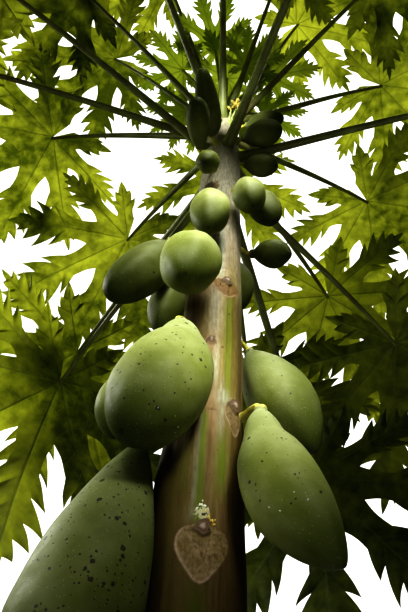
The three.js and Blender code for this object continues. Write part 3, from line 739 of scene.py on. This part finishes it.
# Marks on the fruit and the bark. Small dark scabs with a grey middle, beads of dried white latex
# that bled from the skin, and bits of pale and yellow crust and dark pits over the largest scar.
# Each is set where the view shows it: place in the view, and radius in millimetres.
SUNKEN_MARKS = ((158, 408, 2.6), (124, 398, 1.3), (143.6, 390, 1.1), (191, 379, 1.1), (131, 366, 0.9),
                (150.6, 356, 0.8), (112, 388, 1.2), (117, 384, 0.9), (137, 363, 0.6), (141, 348, 0.9),
                (144, 347, 0.5), (155, 335, 0.8), (165, 339, 0.8), (266, 417, 0.8), (263, 439, 0.6),
                (252, 444, 0.6), (277, 438, 0.6), (283, 440, 0.7), (281, 433, 0.5), (273, 434, 0.5),
                (287, 439, 0.4), (295, 442, 0.5), (299.3, 473, 0.8), (298, 478, 0.7), (277, 466, 0.5),
                (286, 474, 0.5), (302.5, 484, 0.6))
LATEX_DROPS = ((294, 492, 0.9), (308, 499.5, 1.2), (306.6, 496, 0.5), (305.4, 493, 0.4), (269, 507.5, 0.9),
               (280, 511, 1.0), (240.4, 500.5, 1.0), (242.5, 464.5, 0.6), (178, 427, 1.1), (175, 432.5, 1.0),
               (176, 436, 0.8), (175.4, 416, 0.7), (161.5, 257, 0.9), (162, 260, 0.7), (180, 237, 0.8))
PALE_CRUST = ((200.8, 504.5, 1.8), (204.8, 506, 2.0), (197, 508.5, 1.6), (202.6, 500.6, 1.0), (208, 509, 1.1))
YELLOW_CRUST = ((211, 520.7, 2.5), (213.6, 524.6, 1.8), (215, 520, 1.2), (208.6, 516.8, 1.8),
                (205.8, 510.6, 1.0))
DARK_PITS = ((203.4, 514.2, 2.2), (206.4, 513.2, 1.3), (201.4, 508.2, 0.9), (212.8, 516.5, 0.7),
             (206.5, 473, 0.5), (209.5, 474.6, 0.5), (220.5, 477, 0.6), (227, 495, 0.5),
             (217, 449.5, 0.7), (211, 478, 0.4))
# Scabs over this radius have a grey middle, of this part of their own radius.
LARGE_SCAB = 0.002
SCAB_MIDDLE = 0.45
MARK_SIDES = 14
MARK_RINGS = 5
# How far a mark's edge reaches under the skin that carries it.
MARK_GROUND = 0.00025


def view_ray(x, y):
    """Direction from the viewpoint through a place in the view."""
    across = (x - VIEW_SIZE[0] / 2) / VIEW_FOCUS
    above = (VIEW_SIZE[1] / 2 - y) / VIEW_FOCUS
    return (view_forward + view_right * across + view_up * above).normalized()


def joined(parts):
    """One list of points and one of faces from those of several closed bodies."""
    points, faces = [], []
    for own_points, own_faces in parts:
        faces.extend(tuple(len(points) + corner for corner in face) for face in own_faces)
        points.extend(own_points)
    return points, faces


def seen_places(marks, meshes):
    """Place, normal and radius of each mark on the nearest of the meshes behind it."""
    bodies = [([corner.co.copy() for corner in mesh.vertices], [face.vertices for face in mesh.polygons])
              for mesh in meshes]
    skins = BVHTree.FromPolygons(*joined(bodies))
    found = []
    for x, y, radius in marks:
        place, normal, _, _ = skins.ray_cast(VIEW_PLACE, view_ray(x, y))
        if place is not None:
            found.append((place, normal, radius / 1000))
    return found


def dome(number, place, normal, radius, height, wobble):
    """A low closed dome with a slightly uneven outline."""
    across, up = cross_sections([place, place + normal])[0]
    points = []
    for ring in range(MARK_RINGS):
        angle = math.pi / 2 * ring / MARK_RINGS
        rise = height * radius * math.sin(angle) - MARK_GROUND * (ring == 0)
        for turn in full_turn(MARK_SIDES):
            uneven = 1 + wobble * math.sin(3 * turn + number) * math.sin(turn + 2 * number)
            reach = radius * math.cos(angle) * uneven
            points.append(place + (across * math.cos(turn) + up * math.sin(turn)) * reach + normal * rise)
    return points, tube_faces(MARK_RINGS, MARK_SIDES)


def make_speckled(name, dark, light, scale, roughness, edge=0.1, relief=(0.0003, 0.6), through=0.0):
    """A finish of two tones in soft patches, finely pitted, that lets a part of the light through."""
    made, tree, shader = new_material(name)
    patches = cloud(tree, scale, 3)
    tone = mixed(tree, span(tree, patches, 0.5 - edge, 0.5 + edge), dark, light)
    fill(tree, shader, {"Base Color": tone, "Roughness": roughness})
    raised(tree, shader, patches, *relief)
    if through:
        let_through(tree, shader, through, tone)
    return made


def let_through(tree, shader, part, tone):
    """Mixes in light that comes through from behind, in a tone of its own."""
    thin = add_node(tree, "ShaderNodeBsdfTranslucent", {0: tone})
    both = add_node(tree, "ShaderNodeMixShader", {0: part, 1: shader.outputs[0], 2: thin.outputs[0]})
    fill(tree, tree.nodes["Material Output"], {0: both.outputs[0]})


scab = make_speckled("brown_scab", (0.020, 0.020, 0.008), (0.050, 0.040, 0.020), 900, 0.7)
grey_scab = make_speckled("grey_scab", (0.20, 0.21, 0.16), (0.42, 0.42, 0.36), 900, 0.5)
latex = make_speckled("dried_latex", (0.50, 0.54, 0.38), (0.80, 0.82, 0.72), 700, 0.25)
yellow_crust = make_speckled("yellow_crust", (0.42, 0.30, 0.04), (0.68, 0.55, 0.12), 900, 0.5)
sunken = seen_places(SUNKEN_MARKS, fruit_meshes)
middles = [(place, normal, radius * SCAB_MIDDLE) for place, normal, radius in sunken if radius > LARGE_SCAB]
bark_mesh = [trunk_bark.data]
# Name, places, height in parts of the radius, unevenness, finish and slot.
skin_marks = (("fruit_scabs", sunken, 0.10, 0.35, scab, "fruit"),
              ("scab_middles", middles, 0.75, 0.2, grey_scab, "fruit"),
              ("latex_beads", seen_places(LATEX_DROPS, fruit_meshes), 0.7, 0.15, latex, "fruit"),
              ("pale_crust", seen_places(PALE_CRUST, bark_mesh), 0.6, 0.6, latex, "bark"),
              ("yellow_crust", seen_places(YELLOW_CRUST, bark_mesh), 0.6, 0.6, yellow_crust, "bark"),
              ("bark_pits", seen_places(DARK_PITS, bark_mesh), 0.12, 0.4, scab, "bark"))
for mark_name, places, height, wobble, finish, slot in skin_marks:
    domes = [dome(number, *place, height, wobble) for number, place in enumerate(places)]
    marks = add_piece(mark_name, new_mesh(mark_name, *joined(domes)), finish)
    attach(marks, "root")

# Leaf stalks. Long hollow stalks that clasp the trunk in a spiral, thick and flared at the root,
# thinner and a little drooping towards the blade, faintly fluted along their length.
# Height of the root, bearing, rise in degrees, length, blade radius, fall of the blade in degrees.
LEAF_ROWS = (
    (2.724, -61, 24, 0.650, 0.440, 26),
    (2.796, -77, 7, 0.630, 0.450, 34),
    (2.918, -63, 45, 0.560, 0.378, 9),
    (2.945, -88, 57, 0.510, 0.340, 4),
    (2.850, -28, 26, 0.640, 0.440, 20),
    (2.885, -4, 39, 0.600, 0.395, 15),
    (2.948, 25, 56, 0.480, 0.330, 4),
    (2.712, 19, 10, 0.690, 0.450, 32),
    (2.892, 53, 41, 0.570, 0.400, 12),
    (2.940, 92, 44, 0.580, 0.380, 4),
    (2.706, 75, 8, 0.650, 0.450, 34),
    (2.868, 125, 31, 0.610, 0.430, 18),
    (2.832, -149, 30, 0.600, 0.440, 24),
    (2.775, 147, 17, 0.640, 0.440, 34),
    (2.945, 178, 54, 0.520, 0.370, 6),
    (2.664, -146, -3, 0.610, 0.440, 54),
    (2.682, 170, 1, 0.630, 0.440, 50),
    (2.968, -42, 68, 0.560, 0.310, 2),
    (2.972, 62, 72, 0.520, 0.310, 0),
    (2.872, -109, 34, 0.604, 0.421, 20),
    (2.644, 131, -5, 0.583, 0.436, 42),
    (2.604, 157, -22, 0.700, 0.445, 76),
    (2.610, -141, -20, 0.560, 0.450, 74),
)
# The first leaves have a stalk and a blade of their own; in the later ones the two are one solid.
SEPARATE_LEAVES = 15
FULL_STALK_LENGTH = 0.7
LEAF_STALK_RADII = (0.015, 0.011, 0.005)
LEAF_STALK_ROOT_FADE = 0.035
LEAF_STALK_ROOT_RISE = 20
LEAF_STALK_SAG = 10
LEAF_STALK_STEPS = 70
# How far a stalk stands clear of the bark, and how far its skin runs into it with what girth.
LEAF_STALK_SEAT_GAP = 0.0003
LEAF_STALK_SINK = 0.006
LEAF_STALK_ROOT_GIRTH = 1.1
# What the node tree that sweeps a stalk is told: the kind of each input, and its value.
STALK_SETTINGS = {"Sides": ("Int", 30), "Flutes": ("Int", 10), "Flute depth": ("Float", 0.03)}


def leaf_stalk_path(row):
    """Points of a leaf stalk from inside the bark to its blade, with its girth at each."""
    height, turn, rise, length = row[:4]
    out = bearing(turn)
    step = length / LEAF_STALK_STEPS
    girth = length / FULL_STALK_LENGTH
    root, middle, tip = LEAF_STALK_RADII
    point = out * (trunk_radius(height - root * girth) + LEAF_STALK_SEAT_GAP)
    point.z = height
    path, girths = [point - out * LEAF_STALK_SINK], [root * girth * LEAF_STALK_ROOT_GIRTH]
    for index in range(LEAF_STALK_STEPS + 1):
        part = index / LEAF_STALK_STEPS
        flare = (root - middle) * math.exp(-part * length / LEAF_STALK_ROOT_FADE)
        path.append(point.copy())
        girths.append(girth * (middle + (tip - middle) * part + flare))
        along = (index + 0.5) * step
        rooted = math.exp(-along / LEAF_STALK_ROOT_FADE)
        slope = rise - LEAF_STALK_SAG * (along / length) ** 2
        slope = math.radians(slope + (min(rise, LEAF_STALK_ROOT_RISE) - rise) * rooted)
        point = point + out * (step * math.cos(slope)) + Vector((0, 0, step * math.sin(slope)))
    return path, girths, out


def stalk_tree():
    """Geometry nodes that sweep a fluted round section along a line of points."""
    tree = bpy.data.node_groups.new("fluted_stalk", "GeometryNodeTree")
    tree.interface.new_socket("Geometry", in_out="OUTPUT", socket_type="NodeSocketGeometry")
    asked = {}
    kinds = {"Geometry": "Geometry", "Material": "Material"}
    kinds.update((name, kind) for name, (kind, _) in STALK_SETTINGS.items())
    for name, kind in kinds.items():
        socket = tree.interface.new_socket(name, in_out="INPUT", socket_type=f"NodeSocket{kind}")
        asked[name] = socket.identifier
    given = add_node(tree, "NodeGroupInput").outputs
    line = add_node(tree, "GeometryNodeMeshToCurve", {0: given["Geometry"]})
    girth = add_node(tree, "GeometryNodeInputNamedAttribute", {0: "girth"}, data_type="FLOAT")
    ring = add_node(tree, "GeometryNodeCurvePrimitiveCircle", {"Resolution": given["Sides"], "Radius": 1.0})
    part = add_node(tree, "GeometryNodeSplineParameter").outputs["Factor"]
    turn = times(tree, times(tree, part, given["Flutes"]), 2 * math.pi)
    wave = times(tree, arithmetic(tree, "COSINE", turn), given["Flute depth"])
    place = add_node(tree, "GeometryNodeInputPosition").outputs[0]
    fluted = add_node(tree, "ShaderNodeVectorMath", {0: place, "Scale": arithmetic(tree, "ADD", wave, 1.0)},
                      operation="SCALE")
    ring = add_node(tree, "GeometryNodeSetPosition", {0: ring.outputs[0], "Position": fluted.outputs[0]})
    values = {"Curve": line.outputs[0], "Profile Curve": ring.outputs[0], "Scale": girth.outputs[0],
              "Fill Caps": True}
    made = add_node(tree, "GeometryNodeCurveToMesh", values)
    made = add_node(tree, "GeometryNodeRealizeInstances", {0: made.outputs[0]})
    made = add_node(tree, "GeometryNodeSetShadeSmooth", {0: made.outputs[0]})
    made = add_node(tree, "GeometryNodeSetMaterial", {0: made.outputs[0], "Material": given["Material"]})
    add_node(tree, "NodeGroupOutput", {0: made.outputs[0]})
    return tree, asked


def grow_stalk(name, path, girths, finish):
    """A stalk swept along the path by the node tree, as a plain mesh."""
    line = bpy.data.meshes.new(f"{name}_line")
    line.from_pydata(path, [(k, k + 1) for k in range(len(path) - 1)], [])
    store_mask(line, "girth", girths)
    carrier = new_object(f"{name}_line", line)
    nodes = carrier.modifiers.new("stalk", "NODES")
    nodes.node_group = fluted_stalk
    nodes[stalk_inputs["Material"]] = finish
    for name_of_input, (_, value) in STALK_SETTINGS.items():
        nodes[stalk_inputs[name_of_input]] = value
    shown = carrier.evaluated_get(bpy.context.evaluated_depsgraph_get())
    mesh = bpy.data.meshes.new_from_object(shown)
    bpy.data.objects.remove(carrier)
    mesh.name = name
    return new_object(name, mesh)


def make_stalk_skin():
    skin, tree, shader = new_material("green_stalk_skin")
    patches = cloud(tree, 16, 3)
    blush = cloud(tree, 7, 2, shift=(2, 7, 4))
    grain = cloud(tree, 240, 3, shift=(1, 1, 5))
    tone = mixed(tree, span(tree, patches, 0.35, 0.68), (0.150, 0.175, 0.040), (0.290, 0.340, 0.110))
    tone = coated(tree, tone, ((span(tree, blush, 0.50, 0.72, 0, 0.7), (0.130, 0.080, 0.035)),
                               (span(tree, grain, 0.4, 0.7, 0, 0.3), (0.36, 0.38, 0.18))))
    fill(tree, shader, {"Base Color": tone, "Roughness": 0.45})
    raised(tree, shader, grain, 0.0008, 0.5)
    return skin


fluted_stalk, stalk_inputs = stalk_tree()
stalk_skin = make_stalk_skin()
# End, last girth and direction of each stalk, which carry its blade.
stalk_ends = []
for index, row in enumerate(LEAF_ROWS):
    stalk_name = f"leaf_stalk_{index + 1:02d}"
    path, girths, out = leaf_stalk_path(row)
    stalk_ends.append((path[-1], girths[-1], out))
    stalk = grow_stalk(f"{stalk_name}_skin", path, girths, stalk_skin)
    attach(stalk, "root")
    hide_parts(stalk_name if index < SEPARATE_LEAVES else f"leaf_{index + 1:02d}")

# Leaf blades. Thin hand-shaped blades of nine deeply parted lobes, each lobe cut again into
# pointed side lobes, with pale ribs that stand out underneath and light shining through.
# Lobes: bearing of the rib from the blade's own, and its length in parts of the blade's radius.
BLADE_LOBES = ((-144, 0.44), (-108, 0.68), (-72, 0.87), (-36, 0.97), (0, 1.0),
               (36, 0.97), (72, 0.87), (108, 0.68), (144, 0.44))
# Margin of half a lobe beyond its notch, in parts of the lobe's length: out along the rib, aside
# from it, and how far the stretch before bulges.
LONG_MARGIN = ((0.500, 0.092, -0.012), (0.655, 0.172, 0.006), (0.610, 0.088, -0.004),
               (0.800, 0.200, 0.010), (0.735, 0.085, -0.008), (0.868, 0.142, 0.008),
               (0.828, 0.058, -0.004), (0.923, 0.070, 0.006), (0.905, 0.028, -0.002), (1.0, 0.0, 0.006))
SHORT_MARGIN = ((0.500, 0.150, -0.012), (0.700, 0.200, 0.016), (0.660, 0.140, -0.006),
                (0.830, 0.135, 0.012), (0.810, 0.082, -0.004), (1.0, 0.0, 0.010))
SHORT_LOBE = 0.5
MARGIN_STEPS = 5
HUB_STEPS = 11
RIB_START = 0.28
VEIN_SLANT = 0.9
VEIN_COLUMNS = (0, 0.03, 0.12, 0.28, 0.46, 0.64, 0.83, 1.0)
NOTCH_REACH = 0.34
REAR_NOTCH_BEARING = 168
REAR_NOTCH_REACH = 0.16
# How much one half lobe's width and the places of its points differ from the next.
WIDTH_LUCK = 0.12
POINT_LUCK = 0.012
BLADE_THICKNESS = 0.0075
BLADE_DROOP = 0.2
LOBE_FOLD = 0.22
CUT_FOLD = 0.016
# Waves of the blade: height in parts of its radius, scale, and their change from blade to blade.
BLADE_SWAY = (0.05, 2.3, 3.1)
BLADE_CRIMP = (0.014, 11, 1.7)
# How far the ribs stand out underneath, and the part of the radius where they would run out.
RIB_LIFT = 0.0028
RIB_END = 1.15
BLADE_SEAT = 0.004
BLADE_SEAT_GAP = 0.0004
# Points of a blade this close, in metres, are one.
WELD = 1 / 20000
# Spacing along a rib of the side veins and of the finer ones, in parts of the lobe, and their start.
SIDE_VEINS = 0.12
FINE_VEINS = 0.04
VEIN_START = -0.44


def notch_of(lobe, side):
    """Reach of the notch on one side of a lobe, and the angle to it from the lobe's rib."""
    turn, reach = BLADE_LOBES[lobe]
    beside = lobe + side
    if beside < 0 or beside >= len(BLADE_LOBES):
        return REAR_NOTCH_REACH, math.radians(REAR_NOTCH_BEARING - abs(turn))
    next_turn, next_reach = BLADE_LOBES[beside]
    return NOTCH_REACH * (reach + next_reach) / 2, math.radians(abs(next_turn - turn) / 2)


def half_lobe(lobe, side, luck):
    """Stations of half a lobe: place on its rib, place on its margin, and how deep it is cut there."""
    reach = BLADE_LOBES[lobe][1]
    notch_reach, notch_angle = notch_of(lobe, side)
    notch = np.array([notch_reach * math.cos(notch_angle), notch_reach * math.sin(notch_angle)])
    rows = []
    for step in range(HUB_STEPS + 1):
        part = step / HUB_STEPS
        rows.append((RIB_START * reach * part, *(notch * part), 0.0))
    margin = SHORT_MARGIN if reach < SHORT_LOBE else LONG_MARGIN
    last, last_rib, last_cut = notch, RIB_START * reach, 0.0
    widen = 1 - WIDTH_LUCK / 2 + WIDTH_LUCK * luck.uniform(-1, 1)
    for index, (out, aside, bulge) in enumerate(margin):
        jog = 0 if index == len(margin) - 1 else luck.uniform(-POINT_LUCK, POINT_LUCK)
        end = np.array([(out + jog) * reach, aside * widen * reach])
        end_rib = (out - VEIN_SLANT * aside) * reach
        end_cut = 1.0 if index % 2 == 1 or aside == 0 else -1.0
        lean = np.array([-(end - last)[1], (end - last)[0]])
        lean = lean / max(np.hypot(*lean), 1e-9)
        for step in range(1, MARGIN_STEPS + 1):
            part = step / MARGIN_STEPS
            place = last + (end - last) * part + lean * (bulge * reach * math.sin(math.pi * part))
            rib = last_rib + (end_rib - last_rib) * part
            rows.append((rib, place[0], max(place[1], 0), last_cut + (end_cut - last_cut) * part))
        last, last_rib, last_cut = end, end_rib, end_cut
    return np.array(rows)


def blade_pattern(luck):
    """Flat blade: places in parts of its radius, pattern coordinates, depths of cut and faces."""
    places, veins, cuts, faces = [], [], [], []
    columns = np.array(VEIN_COLUMNS)
    count, first = len(columns), 0
    for lobe, (turn, reach) in enumerate(BLADE_LOBES):
        angle = math.radians(turn)
        for side in (-1, 1):
            rows = half_lobe(lobe, side, luck)
            along = rows[:, :1] + (rows[:, 1:2] - rows[:, :1]) * columns
            aside = rows[:, 2:3] * columns
            u = along * math.cos(angle) - side * aside * math.sin(angle)
            v = along * math.sin(angle) + side * aside * math.cos(angle)
            wide = np.broadcast_to(columns, along.shape)
            places.append(np.column_stack([u.ravel(), v.ravel(), aside.ravel(), wide.ravel()]))
            stations = np.broadcast_to(rows[:, :1] / reach, along.shape)
            veins.append(np.column_stack([side * aside.ravel(), stations.ravel()]))
            cuts.append((rows[:, 3:4] * columns ** 1.5).ravel())
            for row in range(len(rows) - 1):
                for a in range(first + row * count, first + row * count + count - 1):
                    face = (a, a + count, a + count + 1, a + 1)
                    faces.append(face if side > 0 else face[::-1])
            first += along.size
    return np.concatenate(places), np.concatenate(veins), np.concatenate(cuts), faces


def sheet_mesh(name, points, veins, faces):
    """A mesh whose coincident points are joined, with the vein pattern as its UV map.

    Two faces on the same points, as where a thin rib starts, lie flat on each other and are left out.
    """
    keys = np.round(points / WELD).astype(np.int64)
    _, kept, own = np.unique(keys, axis=0, return_index=True, return_inverse=True)
    own = own.ravel()
    found = {}
    for face in faces:
        ring = [c for k, c in enumerate(face) if own[c] != own[face[k - 1]]]
        key = frozenset(own[ring])
        if len(key) > 2:
            found[key] = None if key in found else ring
    rings = [ring for ring in found.values() if ring]
    corners = [c for ring in rings for c in ring]
    mesh = new_mesh(name, points[kept], [[int(own[c]) for c in ring] for ring in rings])
    mesh.uv_layers.new(name="veins").data.foreach_set("uv", veins[corners].astype(np.float32).ravel())
    return mesh


def blade_axes(out, fall):
    forward = out * math.cos(math.radians(fall)) + Vector((0, 0, -math.sin(math.radians(fall))))
    side = Vector((0, 0, 1)).cross(out)
    return forward, side, forward.cross(side)


def ripple(u, v, seed, wave):
    _, scale, change = wave
    return np.array([noise.noise(Vector((a * scale, b * scale, seed * change))) for a, b in zip(u, v)])


def make_blade_mesh(name, hub, out, fall, radius, seed):
    forward, side, normal = blade_axes(out, fall)
    places, veins, cuts, faces = blade_pattern(np.random.default_rng(seed))
    u, v, aside, wide = places.T
    reach = np.hypot(u, v)
    dip = -BLADE_DROOP * (u * u + v * v) + LOBE_FOLD * aside - CUT_FOLD * cuts
    dip += BLADE_SWAY[0] * reach * ripple(u, v, seed, BLADE_SWAY)
    dip += BLADE_CRIMP[0] * ripple(u, v, seed, BLADE_CRIMP) * wide ** 2 * np.clip(reach * 2, 0, 1)
    lift = dip * radius - np.where(wide == 0, RIB_LIFT * (RIB_END - reach), 0.0)
    points = (np.array(hub) + np.outer(u * radius, forward) + np.outer(v * radius, side)
              + np.outer(lift, normal))
    return sheet_mesh(name, points, veins * np.array([radius, 1.0]), faces)


def vein_lines(tree, station, spacing, width):
    """Thin lines across the lobe where the station passes each multiple of the spacing."""
    turn = arithmetic(tree, "DIVIDE", arithmetic(tree, "ADD", station, VEIN_START), spacing)
    part = arithmetic(tree, "SUBTRACT", arithmetic(tree, "FRACT", turn), 0.5)
    return span(tree, arithmetic(tree, "ABSOLUTE", part), width, 0)


def make_leaf_skin(name, deep, light, glow):
    leaf, tree, shader = new_material(name)
    pattern = add_node(tree, "ShaderNodeUVMap", uv_map="veins").outputs[0]
    aside, station = add_node(tree, "ShaderNodeSeparateXYZ", {0: pattern}).outputs[:2]
    net = add_node(tree, "ShaderNodeTexVoronoi", {0: place_on(tree), "Scale": 150},
                   feature="DISTANCE_TO_EDGE")
    lines = span(tree, arithmetic(tree, "ABSOLUTE", aside), 0.0034, 0.0012)
    for finer in (vein_lines(tree, station, SIDE_VEINS, 0.045),
                  times(tree, vein_lines(tree, station, FINE_VEINS, 0.07), 0.35),
                  span(tree, net.outputs["Distance"], 0.07, 0.0, 0, 0.28)):
        lines = arithmetic(tree, "MAXIMUM", lines, finer)
    region = times(tree, cloud(tree, 2.6, 3), 0.65)
    mottled = times(tree, cloud(tree, 34, 3, shift=(4, 4, 4)), 0.35)
    amount = span(tree, arithmetic(tree, "ADD", region, mottled), 0.38, 0.62)
    tone = mixed(tree, times(tree, lines, 0.6), mixed(tree, amount, deep, light), (0.30, 0.36, 0.12))
    through = mixed(tree, times(tree, lines, 0.35), mixed(tree, amount, *glow), (0.10, 0.13, 0.01))
    fill(tree, shader, {"Base Color": tone, "Roughness": 0.5})
    raised(tree, shader, lines, 0.0012, 0.35)
    let_through(tree, shader, 0.5, through)
    return leaf


def blade_hub(end, girth, out, fall):
    """Where a blade's ribs meet, just over the end of its stalk."""
    forward, _, normal = blade_axes(out, fall)
    return end + normal * (girth + BLADE_THICKNESS / 2 + BLADE_SEAT_GAP) - forward * BLADE_SEAT


leaf_skin = make_leaf_skin("leaf_skin", (0.040, 0.066, 0.006), (0.105, 0.135, 0.012),
                           ((0.120, 0.155, 0.006), (0.74, 0.80, 0.080)))
for index, (row, (end, girth, out)) in enumerate(zip(LEAF_ROWS, stalk_ends)):
    blade_name = f"leaf_blade_{index + 1:02d}"
    radius, fall = row[4:]
    hub = blade_hub(end, girth, out, fall)
    blade_mesh = make_blade_mesh(f"{blade_name}_skin", hub, out, fall, radius, index + 1)
    blade = add_piece(f"{blade_name}_skin", blade_mesh, leaf_skin)
    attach(blade, "root")
    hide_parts(blade_name if index < SEPARATE_LEAVES else f"leaf_{index + 1:02d}")

# Growing tip. The soft green bud that ends the trunk, with its youngest leaves standing up round
# it on thin pale stalks.
TIP_RADII = ((0, 0.0205), (0.3, 0.018), (0.6, 0.014), (0.85, 0.008), (1.0, 0.0015))
TIP_HEIGHT = 0.09
TIP_SINK = 0.004
TIP_FOLD_DEPTH = 0.07
TIP_SIDES = 32
TIP_RINGS = 30
# Young leaves: bearing, lean from upright, stalk length, blade radius.
YOUNG_ROWS = ((10, 4, 0.185, 0.165), (-155, 16, 0.245, 0.190), (155, 17, 0.215, 0.170),
              (-75, 33, 0.230, 0.150), (75, 35, 0.215, 0.150), (-20, 26, 0.235, 0.150),
              (35, 36, 0.150, 0.120), (-120, 44, 0.170, 0.130), (115, 48, 0.165, 0.130))
YOUNG_ROOT_OFFSET = 0.006
YOUNG_ROOT_RISE = 0.03
YOUNG_STALK_RADIUS = 0.006
YOUNG_STALK_TAPER = 0.4
YOUNG_STALK_STEPS = 24
YOUNG_FALL = -4
YOUNG_SEED = 31


def make_bud_mesh():
    points = []
    for ring in range(TIP_RINGS + 1):
        part = ring / TIP_RINGS
        height = TRUNK_TOP - TIP_SINK + part * (TIP_HEIGHT + TIP_SINK)
        for angle in full_turn(TIP_SIDES):
            radius = np.interp(part, *zip(*TIP_RADII))
            radius *= 1 + TIP_FOLD_DEPTH * math.cos(3 * angle + 9 * part) * math.sin(math.pi * part)
            points.append((radius * math.cos(angle), radius * math.sin(angle), height))
    return new_mesh("growing_bud", points, tube_faces(TIP_RINGS + 1, TIP_SIDES))


def young_stalk_path(turn, lean, length):
    out = bearing(turn)
    axis = out * math.sin(math.radians(lean)) + Vector((0, 0, math.cos(math.radians(lean))))
    start = out * YOUNG_ROOT_OFFSET
    start.z = TRUNK_TOP + YOUNG_ROOT_RISE
    parts = [step / YOUNG_STALK_STEPS for step in range(YOUNG_STALK_STEPS + 1)]
    path = [start + axis * (length * part) for part in parts]
    return path, [YOUNG_STALK_RADIUS * (1 - YOUNG_STALK_TAPER * part) for part in parts], out


young_skin = make_speckled("pale_young_skin", (0.28, 0.36, 0.10), (0.46, 0.52, 0.20), 40, 0.45,
                           edge=0.15, relief=(0.001, 0.5))
young_leaf_skin = make_leaf_skin("young_leaf_skin", (0.10, 0.16, 0.02), (0.18, 0.25, 0.04),
                                 ((0.27, 0.37, 0.02), (0.50, 0.58, 0.06)))
tip_pieces = [add_piece("growing_bud", make_bud_mesh(), young_skin)]
for index, (turn, lean, length, radius) in enumerate(YOUNG_ROWS):
    name = f"young_leaf_{index + 1:02d}"
    path, girths, out = young_stalk_path(turn, lean, length)
    tip_pieces.append(grow_stalk(f"{name}_stalk", path, girths, young_skin))
    young_mesh = make_blade_mesh(f"{name}_blade", path[-1], out, YOUNG_FALL, radius, YOUNG_SEED + index)
    tip_pieces.append(add_piece(f"{name}_blade", young_mesh, young_leaf_skin))
for piece in tip_pieces:
    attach(piece, "root")
    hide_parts("growing_tip")

# Flowers. A cluster in the axil of one of the front leaves: an open pale yellow flower of five
# narrow waxy petals and a few buds, on short green stalks from one root on the trunk.
FLOWER_ROOT_HEIGHT = 2.835
FLOWER_BEARING = 20
FLOWER_PLACE = Vector((0.0296, -0.0664, 2.880))
FLOWER_FACING = Vector((-0.1, -0.75, -0.6)).normalized()
# The open flower's base: how far it reaches behind its face, and its length.
FLOWER_BASE = (0.012, 0.016)
PETAL_COUNT = 5
PETAL_LENGTH = 0.017
PETAL_LEAN = math.radians(58)
PETAL_ROOT = 0.001
PETAL_FLATNESS = 0.35
# Buds: place from the flower's, direction and length.
BUD_ROWS = (((0.010, 0.016, 0.006), (0.5, -0.6, 0.5), 0.016),
            ((-0.012, 0.014, 0.002), (-0.7, -0.6, 0.2), 0.014),
            ((0.004, 0.020, 0.016), (0.1, -0.5, 0.9), 0.013),
            ((0.016, 0.012, 0.018), (0.7, -0.3, 0.7), 0.011))
# Where the stalk ends in the open flower and in a bud.
FLOWER_STALK_END = -0.010
BUD_STALK_END = 0.001
# Half widths of a bud, a petal and a stalk: at the end, and what the middle or the root adds.
BUD_WIDTHS = (0.0003, 0.0042)
PETAL_WIDTHS = (0.0008, 0.0036)
FLOWER_STALK_WIDTHS = (0.0016, 0.0014)
SPINDLE_SIDES = 12
SPINDLE_RINGS = 14


def spindle(start, axis, length, profile, flat=1.0):
    """A closed body along an axis; the profile gives its half width by part of its length."""
    across, up = cross_sections([start, start + axis])[0]
    points = []
    for ring in range(SPINDLE_RINGS + 1):
        part = ring / SPINDLE_RINGS
        for turn in full_turn(SPINDLE_SIDES):
            arm = across * math.cos(turn) + up * (flat * math.sin(turn))
            points.append(start + axis * (length * part) + arm * profile(part))
    return points, tube_faces(SPINDLE_RINGS + 1, SPINDLE_SIDES)


def bud_width(part):
    return BUD_WIDTHS[0] + BUD_WIDTHS[1] * math.sin(math.pi * part ** 0.8) ** 0.8


def petal_width(part):
    return PETAL_WIDTHS[0] + PETAL_WIDTHS[1] * math.sin(math.pi * min(part * 0.93 + 0.07, 1)) ** 0.7


def stalk_width(part):
    return FLOWER_STALK_WIDTHS[0] + FLOWER_STALK_WIDTHS[1] * math.exp(-part / 0.1)


def make_flower_parts():
    across, up = cross_sections([FLOWER_PLACE, FLOWER_PLACE + FLOWER_FACING])[0]
    behind, base_length = FLOWER_BASE
    bloom = [spindle(FLOWER_PLACE - FLOWER_FACING * behind, FLOWER_FACING, base_length, bud_width)]
    for turn in full_turn(PETAL_COUNT):
        out = across * math.cos(turn) + up * math.sin(turn)
        axis = FLOWER_FACING * math.cos(PETAL_LEAN) + out * math.sin(PETAL_LEAN)
        foot = FLOWER_PLACE + out * PETAL_ROOT
        bloom.append(spindle(foot, axis, PETAL_LENGTH, petal_width, PETAL_FLATNESS))
    ends = [FLOWER_PLACE + FLOWER_FACING * FLOWER_STALK_END]
    for place, way, length in BUD_ROWS:
        foot, axis = FLOWER_PLACE + Vector(place), Vector(way).normalized()
        bloom.append(spindle(foot, axis, length, bud_width))
        ends.append(foot + axis * BUD_STALK_END)
    root = bearing(FLOWER_BEARING) * (trunk_radius(FLOWER_ROOT_HEIGHT) - STALK_SINK)
    root.z = FLOWER_ROOT_HEIGHT
    stalks = [spindle(root, (end - root).normalized(), (end - root).length, stalk_width) for end in ends]
    return new_mesh("flowers", *joined(bloom)), new_mesh("flower_stalks", *joined(stalks))


petals = make_speckled("waxy_petals", (0.74, 0.64, 0.16), (0.88, 0.80, 0.36), 160, 0.4, through=0.55)
for flower_mesh, finish in zip(make_flower_parts(), (petals, young_skin)):
    flower_piece = add_piece(flower_mesh.name, flower_mesh, finish)
    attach(flower_piece, "root")
